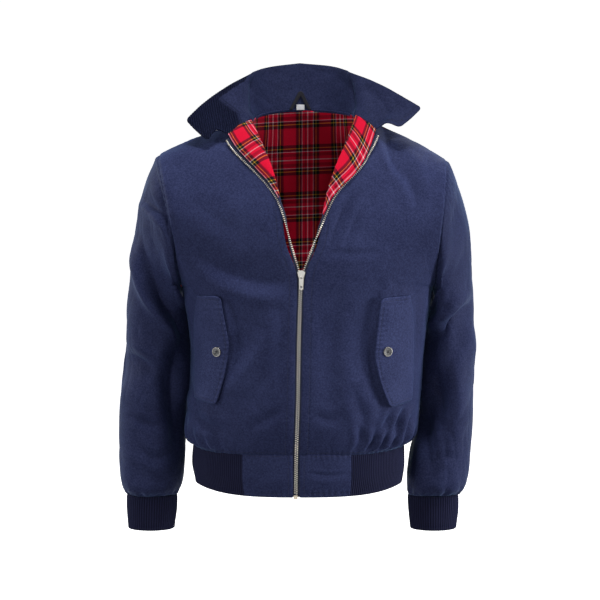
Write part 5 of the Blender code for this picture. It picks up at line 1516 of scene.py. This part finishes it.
parts = {}
sewn = []
for side in SIDES:
    half, at, to_end, to_free, to_seam = collar_half(side)
    depth, rows, furrow = collar_relief(side, half, at, to_end, to_free, to_seam)
    normals = normals_towards(COLLAR_OUT, half)
    half = half - normals * depth[..., None]
    half[0, :, 2] -= COLLAR_UNDER * (at[0] < COLLAR_FIRST_LAPEL)
    parts[side] = (half, rows, furrow)
    if side == "left":
        loose = slice((COLLAR_FIRST_LAPEL + COLLAR_LAPEL_STATIONS) * COLLAR_FINE[side], -8)
        for line in COLLAR_STITCHES:
            sewn.append(sewn_line(half[:, ::-1], normals[:, ::-1], to_end[:, ::-1], line,
                                  slice(6, -2)))
            sewn.append(sewn_line(half, normals, to_seam, line, loose, down=True))
grid, rows, furrow = (both_halves(*pair) for pair in zip(parts["right"], parts["left"]))
piece = cloth_sheet("collar_cloth", grid, [SHADED_COLLAR_NAVY], COLLAR_OUT, thickness=COLLAR_WALL)
mark(piece, "rows", rows)
mark(piece, "furrow", furrow)
dress(piece, "collar")
stitches("collar_stitches", sewn)


# ------------------------------------------------------------------ neck trim
# A narrow strip of twill binds the neck seam inside the back. The hanger loop of black
# tape and a small blank label are caught into it.

BINDING_SHARE = 4 / 14       # of each half of the back's top edge
BINDING_DEPTH = 0.144        # of the way down to the row below the neck
NECK_LEAN = 0.28
NECK_BEND = 80.0
NECK_SEAM_AT = (81.0, 23.0)  # y and z in the middle of the back
HANGER_LOOP = np.array((
    # outer x, outer height, inner x, inner height, along the bent tape
    (-18.0, 0.0, -12.5, 0.0), (-10.0, 15.0, -5.8, 11.0), (-2.5, 29.0, 0.6, 22.0),
    (4.5, 29.0, 1.4, 22.0), (11.5, 15.0, 7.4, 11.0), (19.0, 0.0, 13.5, 0.0),
), float)
SIZE_LABEL = np.array(((-6.0, 8.5, 7.5, 8.5), (-6.0, -0.5, 7.5, -0.5)), float)


def woven_tape(name, colour, pitch):
    """Narrow woven tape with fine cross ribs."""
    finish = Finish(name, Roughness=0.85, Specular_IOR_Level=0.2, Sheen_Weight=0.08)
    place = finish.place()
    ribs = finish.wave(place, 0.16 / (pitch * MM), 0.4)
    threads = finish.noise(place, 900.0, 2.0)
    light = tuple(min(1.0, part * 1.9 + 0.004) for part in colour)
    finish.set("Base Color", finish.blend(ribs * 0.5 + threads * 0.4, colour, light))
    finish.bump(ribs * 0.6 + threads * 0.3, 0.4, 0.0004)
    return finish.material


TAPE_BLACK = woven_tape("tape_black", (0.006, 0.006, 0.010), 0.8)
ZIP_TAPE_NAVY = woven_tape("tape_navy", (0.012, 0.015, 0.036), 0.7)
LABEL_GREY = woven_tape("label_grey", (0.42, 0.42, 0.44), 0.5)

below, top = back_sheet(BINDING_SHARE, np.array([SHOULDER_ROW - 1.0, SHOULDER_ROW]), 34)
low = top + (below - top) * BINDING_DEPTH
# up the inside of the strip and down its back, 0.55 mm nearer to the cloth
share = np.concatenate([np.linspace(0, 1, 10), np.linspace(1, 0, 10)])[:, None, None]
behind = np.repeat((0.0, 0.55), 10)[:, None, None]
grid = low + (top - low) * share
inward = -unit(grid * LEVEL)
swell = 0.5 * np.sin(math.pi * share)
grid = grid + inward * (CLOTH + 1.2 + swell - behind * (1 + swell))
piece = cloth_sheet("binding_cloth", grid, [NAVY], -outward(grid), thickness=0.4)
dress(piece, "neck_binding")


def trim_place(x, up, thick):
    """On the inside of the neck: leaning back with height, curving with x squared."""
    neck_y = NECK_SEAM_AT[0] - (CLOTH + LINING_GAP + LINING + 2 * SEAM)
    y = neck_y - thick / 2 + NECK_LEAN * up - x * x / NECK_BEND
    return np.stack([x, y, NECK_SEAM_AT[1] + up], axis=-1)


for name, table, thick, material, slot in (
        ("hanger_loop", HANGER_LOOP, 1.2, TAPE_BLACK, "dark_tape"),
        ("size_label", SIZE_LABEL, 0.6, LABEL_GREY, "label_cloth")):
    row = smooth_rows(table, 6 * len(table))
    outer = trim_place(row[:, 0], row[:, 1], 2 * thick)
    inner = trim_place(row[:, 2], row[:, 3], 2 * thick)
    share = np.linspace(0, 1, 8)[None, :, None]
    grid = outer[:, None] + (inner - outer)[:, None] * share
    grid[..., 1] -= 0.3 * np.sin(math.pi * share[..., 0])
    piece = cloth_sheet(name + "_woven", grid, [material], np.array([0.0, -1.0, 0.2]),
                        thickness=thick)
    sew_on(piece, name)


# ------------------------------------------------------------------ zip
# Separating zip: two navy tapes, each with a row of pressed metal teeth, closed up to the
# slider on the lower chest and spread along the rolled edges above it.

ZIP_OPEN = {
    "right": np.array((
        # x, z, lift, roll
        (-3.0, -224, -1.0, 0), (-9, -205, 0.0, 25), (-16, -182, 2.2, 65),
        (-21, -160, 3.6, 100), (-27, -139, 3.8, 140), (-37, -117, 2.6, 172),
        (-48, -101, 1.9, 180), (-59, -88, 1.9, 180), (-75, -72, 2.1, 180),
        (-92, -56, 3.2, 180), (-108, -40, 5.4, 180), (-119, -24, 9.0, 180),
    ), float),
    "left": np.array((
        (7.6, -223, -1.0, 0), (17, -200, 0.4, 35), (26, -176, 2.8, 95),
        (35, -155, 2.8, 150), (45, -133, 2.0, 180), (56, -112, 1.9, 180),
        (72, -93, 1.9, 180), (89, -77, 2.0, 180), (103, -61, 3.0, 180),
        (112, -45, 4.6, 180), (121, -30, 7.0, 180), (127, -17, 9.4, 180),
    ), float),
}
CHAIN_WIDTH = 2.6        # of one side's teeth
TAPE_SPAN = ((-1.6, 7.5), (1.2, 4.6))    # across the tape from the teeth: closed, open
ZIP_BEHIND_CLOTH = 1.4
ZIP_END = -596.0
ZIP_BOX_HEIGHT = 5.6
SLIDER_BOTTOM = -240.0
TAPE_ROWS = 260
TAPE_WALL = 0.8
CHEST_FRONT = 130.0      # how far the zip stands out above the underarm
TOOTH_PITCH = 3.3
TOOTH_SIZE = (2.7, 1.35, 2.3)    # across the tape, along it, through it


def zip_line(side):
    """Tooth line from hem to neck with the direction to the tape, the tape's normal, how far
    behind the cloth it is sewn and how wide it shows."""
    sign = SIDES[side]
    half_gap = CHAIN_WIDTH / 2 + 0.2
    band_front = body_section(WAIST_LEVEL)[2]
    band_middle = (WAIST_LEVEL + HEM_LEVEL - HEM_DIP) / 2
    rows = [(ZIP_END, band_front - 2.7), (band_middle, band_front + 1.5),
            (WAIST_LEVEL - 1.0, band_front)]
    rows += [(level, body_section(level)[2]) for level in ROW_LEVELS[1:-1]]
    rows += [(FRONT_EDGE[side][0][2], CHEST_FRONT), (SLIDER_BOTTOM, CHEST_FRONT)]
    heights, front = np.array(rows, float).T
    closed = np.stack([centre_front_x(heights) + sign * half_gap, -front + ZIP_BEHIND_CLOTH,
                       heights], axis=-1)
    steps = np.concatenate([np.arange(0, 6, 0.25), np.arange(6, 11.01, 0.5)])
    x, z, lift, open_roll = table_rows(ZIP_OPEN[side], steps).T
    half = fronts[side]
    u, k = half.seen_at(x, z, lift)
    edge_x, edge_y = (np.interp(z, FRONT_EDGE[side][:, 2], FRONT_EDGE[side][:, i])
                      for i in (0, 1))
    past_edge = np.stack([x, edge_y - lift, z], axis=-1)
    opened = np.where((sign * (x - edge_x) < 0)[:, None], past_edge, half.lifted(u, k, lift))
    teeth = np.concatenate([closed, opened])
    normals = np.concatenate([np.tile([0.0, -1.0, 0.0], (len(closed), 1)), half.normal(u, k)])
    roll = np.radians(np.concatenate([np.zeros(len(closed)), open_roll]))
    along = unit(np.gradient(teeth, axis=0))
    away = np.cross(along, normals)
    away = unit(away * np.sign(away[:, :1] * sign))
    to_tape = away * np.cos(roll)[:, None] - normals * np.sin(roll)[:, None]
    is_closed = (roll <= 0)[:, None]
    to_tape = np.where(is_closed, np.array([sign, 0.0, 0.0]), to_tape)
    through = unit(np.where(is_closed, np.array([0.0, sign, 0.0]), np.cross(along, to_tape)))
    wall = np.where(teeth[:, 2] < WAIST_LEVEL + 9, RIB_WALL + 1.1, CLOTH)
    behind = (wall - ZIP_BEHIND_CLOTH + 0.9) * (roll <= 0)
    span = np.where((np.arange(len(teeth)) < len(closed))[:, None], *TAPE_SPAN)
    return teeth, to_tape, through, behind, span


def zip_metal(name, colour, light):
    """Pale plated metal, a little duller in patches."""
    finish = Finish(name, Metallic=0.75)
    wear = finish.noise(finish.place(uv=False), 700.0, 3.0)
    finish.set("Base Color", finish.blend(wear, colour, light))
    finish.set("Roughness", wear * 0.2 + 0.34)
    finish.bump(wear, 0.1, 0.0002)
    return finish.material


METAL = zip_metal("zip_metal", (0.78, 0.73, 0.62), (0.97, 0.93, 0.83))
SLIDER_METAL = zip_metal("slider_metal", (0.25, 0.245, 0.23), (0.44, 0.43, 0.40))
BOX_METAL = zip_metal("box_metal", (0.30, 0.26, 0.21), (0.44, 0.385, 0.31))


for side, sign in SIDES.items():
    teeth, to_tape, through, behind, span = zip_line(side)
    length = run_lengths(teeth, 0)
    at = np.linspace(0, length[-1], TAPE_ROWS)
    line, out, front = (along_line(v, length, at) for v in (teeth, to_tape, through))
    near, far = (along_line(span, length, at)[:, None, i:i + 1] for i in (0, 1))
    back = np.interp(at, length, behind)[:, None, None]
    share = np.linspace(0, 1, 7)[None, :, None]
    grid = line[:, None] + out[:, None] * (near + (far - near) * share)
    grid[..., 1:2] += back
    grid = grid + unit(front)[:, None] * (TAPE_WALL / 2)
    piece = cloth_sheet("tape_" + side, grid, [ZIP_TAPE_NAVY], front[:, None],
                        thickness=TAPE_WALL)
    sew_on(piece, "zip_tape_" + side)

    shift = 0.0 if sign > 0 else TOOTH_PITCH / 2
    at = np.arange(ZIP_BOX_HEIGHT + shift, length[-1] - 2.0, TOOTH_PITCH)
    line, out, front = (along_line(v, length, at) for v in (teeth, to_tape, through))
    along = unit(along_line(np.gradient(teeth, axis=0), length, at))
    out = unit(out - along * (out * along).sum(-1, keepdims=True))
    front = np.cross(along, out)
    seen = np.where((front * COLLAR_OUT).sum(-1, keepdims=True) < 0, -1.0, 1.0)
    ways = np.stack([out, along, front * seen], axis=1)
    piece = blocks("teeth_" + side, line, ways, TOOTH_SIZE, METAL)
    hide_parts("zip_chain_" + side)

for name, material in (("zip_slider", SLIDER_METAL), ("zip_pull_tab", SLIDER_METAL),
                       ("zip_box", BOX_METAL)):
    for slot in bpy.data.objects[name].material_slots:
        slot.material = material


# ------------------------------------------------------------------ pocket flaps and buttons
# Slanted flaps of doubled twill, sewn along their outer edge and topstitched round the
# free one. Each is held by a dark four-hole button with a metal rim.

POCKET_FLAP = {
    "right": np.array((
        # sewn x, sewn z, free x, free z, from the top down
        (-165, -273, -127, -271), (-171, -298, -122, -298), (-172.5, -324, -117, -324),
        (-173, -350, -113, -350), (-173, -376, -116, -377), (-173, -406, -124, -412),
        (-172, -441, -135, -447),
    ), float),
    "left": np.array((
        (177, -272, 129, -274), (181, -296, 126, -299), (183.5, -321, 123, -325),
        (184, -346, 120.5, -350), (184, -372, 120, -373), (184, -406, 129, -412),
        (182, -445, 145, -452),
    ), float),
}
FLAP_LIFT = (0.9, 6.0)      # under its sewn edge and under its free edge
FLAP_CORNER = 8.0
FLAP_STITCH = 6.0
BUTTON_AT = {"right": (-133, -361), "left": (140, -360)}
BUTTON_RADIUS = 8.0
BUTTON_ROWS = 56
FACE_ROWS = 4.0             # rows of its profile that the holes go through
BUTTON_ON_FLAP = 0.75       # share from the flap's sewn to its free edge
HOLE_AT = 1.7
HOLE_RADIUS = 0.85
HOLE_DEPTH = 1.1
BUTTON_PROFILE = np.array((
    # share of the radius, height
    (0.0, 1.2), (0.30, 1.2), (0.56, 1.35), (0.66, 1.9), (0.74, 2.35), (0.84, 2.5),
    (0.94, 2.2), (1.0, 1.3), (0.97, 0.6), (0.86, 0.0), (0.4, 0.0), (0.0, 0.0),
), float)


def flap_lift(across):
    """How far the flap's face stands off the front, by share from its sewn to its free edge."""
    return FLAP_LIFT[0] + (FLAP_LIFT[1] - FLAP_LIFT[0]) * across + CLOTH


def flap_grid(side):
    """The flap's outline table carried on the front, lifted more towards its free edge, its
    free corners rounded and a stitched furrow round it."""
    half = fronts[side]
    sewn_x, sewn_z, free_x, free_z = smooth_rows(POCKET_FLAP[side], 90).T[..., None]
    across = np.linspace(0, 1, 44)
    x = sewn_x + (free_x - sewn_x) * across
    z = sewn_z + (free_z - sewn_z) * across
    place = np.stack([x, 0 * x, z], axis=-1)
    to_sewn, to_free, down, low = to_edges(place)
    moved = place.copy()
    for distance, way in ((down, 1.0), (low, -1.0)):
        back, inward = corner_moves(FLAP_CORNER, to_free, distance)
        moved = moved - unit(np.gradient(place, axis=1)) * back
        moved = moved + unit(np.gradient(place, axis=0)) * (way * inward)
    lift = flap_lift(across) + 0.3 * ripple(moved, 30.0, seed=19)
    edge = np.minimum(np.minimum(to_free, down), low)
    lift = lift - dip(edge - FLAP_STITCH, 0.45, 0.9) - fold_under(edge, 1.3)
    lift = lift - dip(to_sewn, 0.6, 2.0)
    puckered = puckers(moved[..., 2], edge - FLAP_STITCH, 8.0, 6.0)
    lift = lift - puckered - 0.35 * crumple(moved, 22.0, seed=21) * ease(edge / 8.0)
    u, k = half.seen_at(moved[..., 0], moved[..., 2], lift)
    grid = half.lifted(u, k, lift)
    normals = half.normal(u, k)
    sewn = []
    for thing in (grid, normals):
        top = line_on(thing.swapaxes(0, 1), down.T, FLAP_STITCH)
        free = line_on(thing[:, ::-1], to_free[:, ::-1], FLAP_STITCH)
        bottom = line_on(thing[::-1].swapaxes(0, 1), low[::-1].T, FLAP_STITCH)
        sewn.append(np.concatenate([top[:-6], free[6:-6], bottom[-7::-1]]))
    return grid, [sewn]


def button_finish():
    """Dark moulded face with a worn metal rim, told apart by distance from the middle."""
    finish = Finish("button", Specular_IOR_Level=0.5)
    place = finish.place()
    out = finish.add("ShaderNodeSeparateXYZ", {}, {"Vector": place}, out="X")
    grain = finish.noise(place, 60.0, 3.0)
    rim = (out > 0.80) * (out < 1.02)
    finish.set("Base Color", finish.blend(rim, (0.07, 0.07, 0.072), (0.16, 0.155, 0.15)))
    finish.set("Metallic", rim * 0.9)
    finish.set("Roughness", grain * 0.2 + 0.28)
    return finish.material


BUTTON_DARK = button_finish()
# a lighter copy of the twill, painted light on the flaps where they stand out from the front
LIT_FLAP_NAVY = navy_twill("flap_twill_painted_light", (0.022, 0.0275, 0.078), (0.048, 0.060, 0.152))


def make_button(side):
    """A profile turned round the button's axis, with four holes pressed into its face."""
    half = fronts[side]
    x, z = BUTTON_AT[side]
    lift = np.array([flap_lift(BUTTON_ON_FLAP) + 0.5])
    u, k = half.seen_at(np.array([x]), np.array([z]), lift)
    base = half.lifted(u, k, lift)[0]
    axis = half.normal(u, k)[0]
    right_way = unit(np.cross(UP, axis))
    up_way = np.cross(axis, right_way)
    radius, height = smooth_rows(BUTTON_PROFILE, BUTTON_ROWS).T
    radius = np.clip(radius, 0.004, None)
    around = np.linspace(0, 2 * math.pi, 64, endpoint=False)
    a = radius[:, None] * BUTTON_RADIUS * np.cos(around)
    b = radius[:, None] * BUTTON_RADIUS * np.sin(around)
    h = np.tile(height[:, None], (1, len(around)))
    face_up = (np.linspace(0, len(BUTTON_PROFILE) - 1, BUTTON_ROWS) < FACE_ROWS)[:, None]
    for i, j in ((-1, -1), (-1, 1), (1, -1), (1, 1)):
        from_hole = np.hypot(a - HOLE_AT * i, b - HOLE_AT * j)
        h = h - face_up * HOLE_DEPTH * np.exp(-((from_hole / HOLE_RADIUS) ** 4))
    grid = base + a[..., None] * right_way + b[..., None] * up_way + h[..., None] * axis
    faces = grid_faces(len(radius), len(around), True)
    spread = np.stack(np.broadcast_arrays(radius[:, None], around / 6.3), axis=-1)
    piece = add_mesh("button_face_" + side, grid * MM, faces, [BUTTON_DARK],
                     spread.reshape(-1, 2)[faces.ravel()])
    sew_on(piece, "button_" + side)
    rising, falling = unit(right_way + up_way), unit(right_way - up_way)
    ways = np.stack([np.stack([rising, -falling, axis]), np.stack([falling, rising, axis])])
    threads = np.tile(base + axis * 1.5, (2, 1))
    blocks("button_thread_" + side, threads, ways, (4.2, 0.7, 0.7), THREAD)


for side in SIDES:
    grid, sewn = flap_grid(side)
    piece = cloth_sheet("flap_cloth_" + side, grid, [LIT_FLAP_NAVY], outward(grid))
    dress(piece, "pocket_flap_" + side)
    stitches("flap_stitches_" + side, sewn)
    make_button(side)
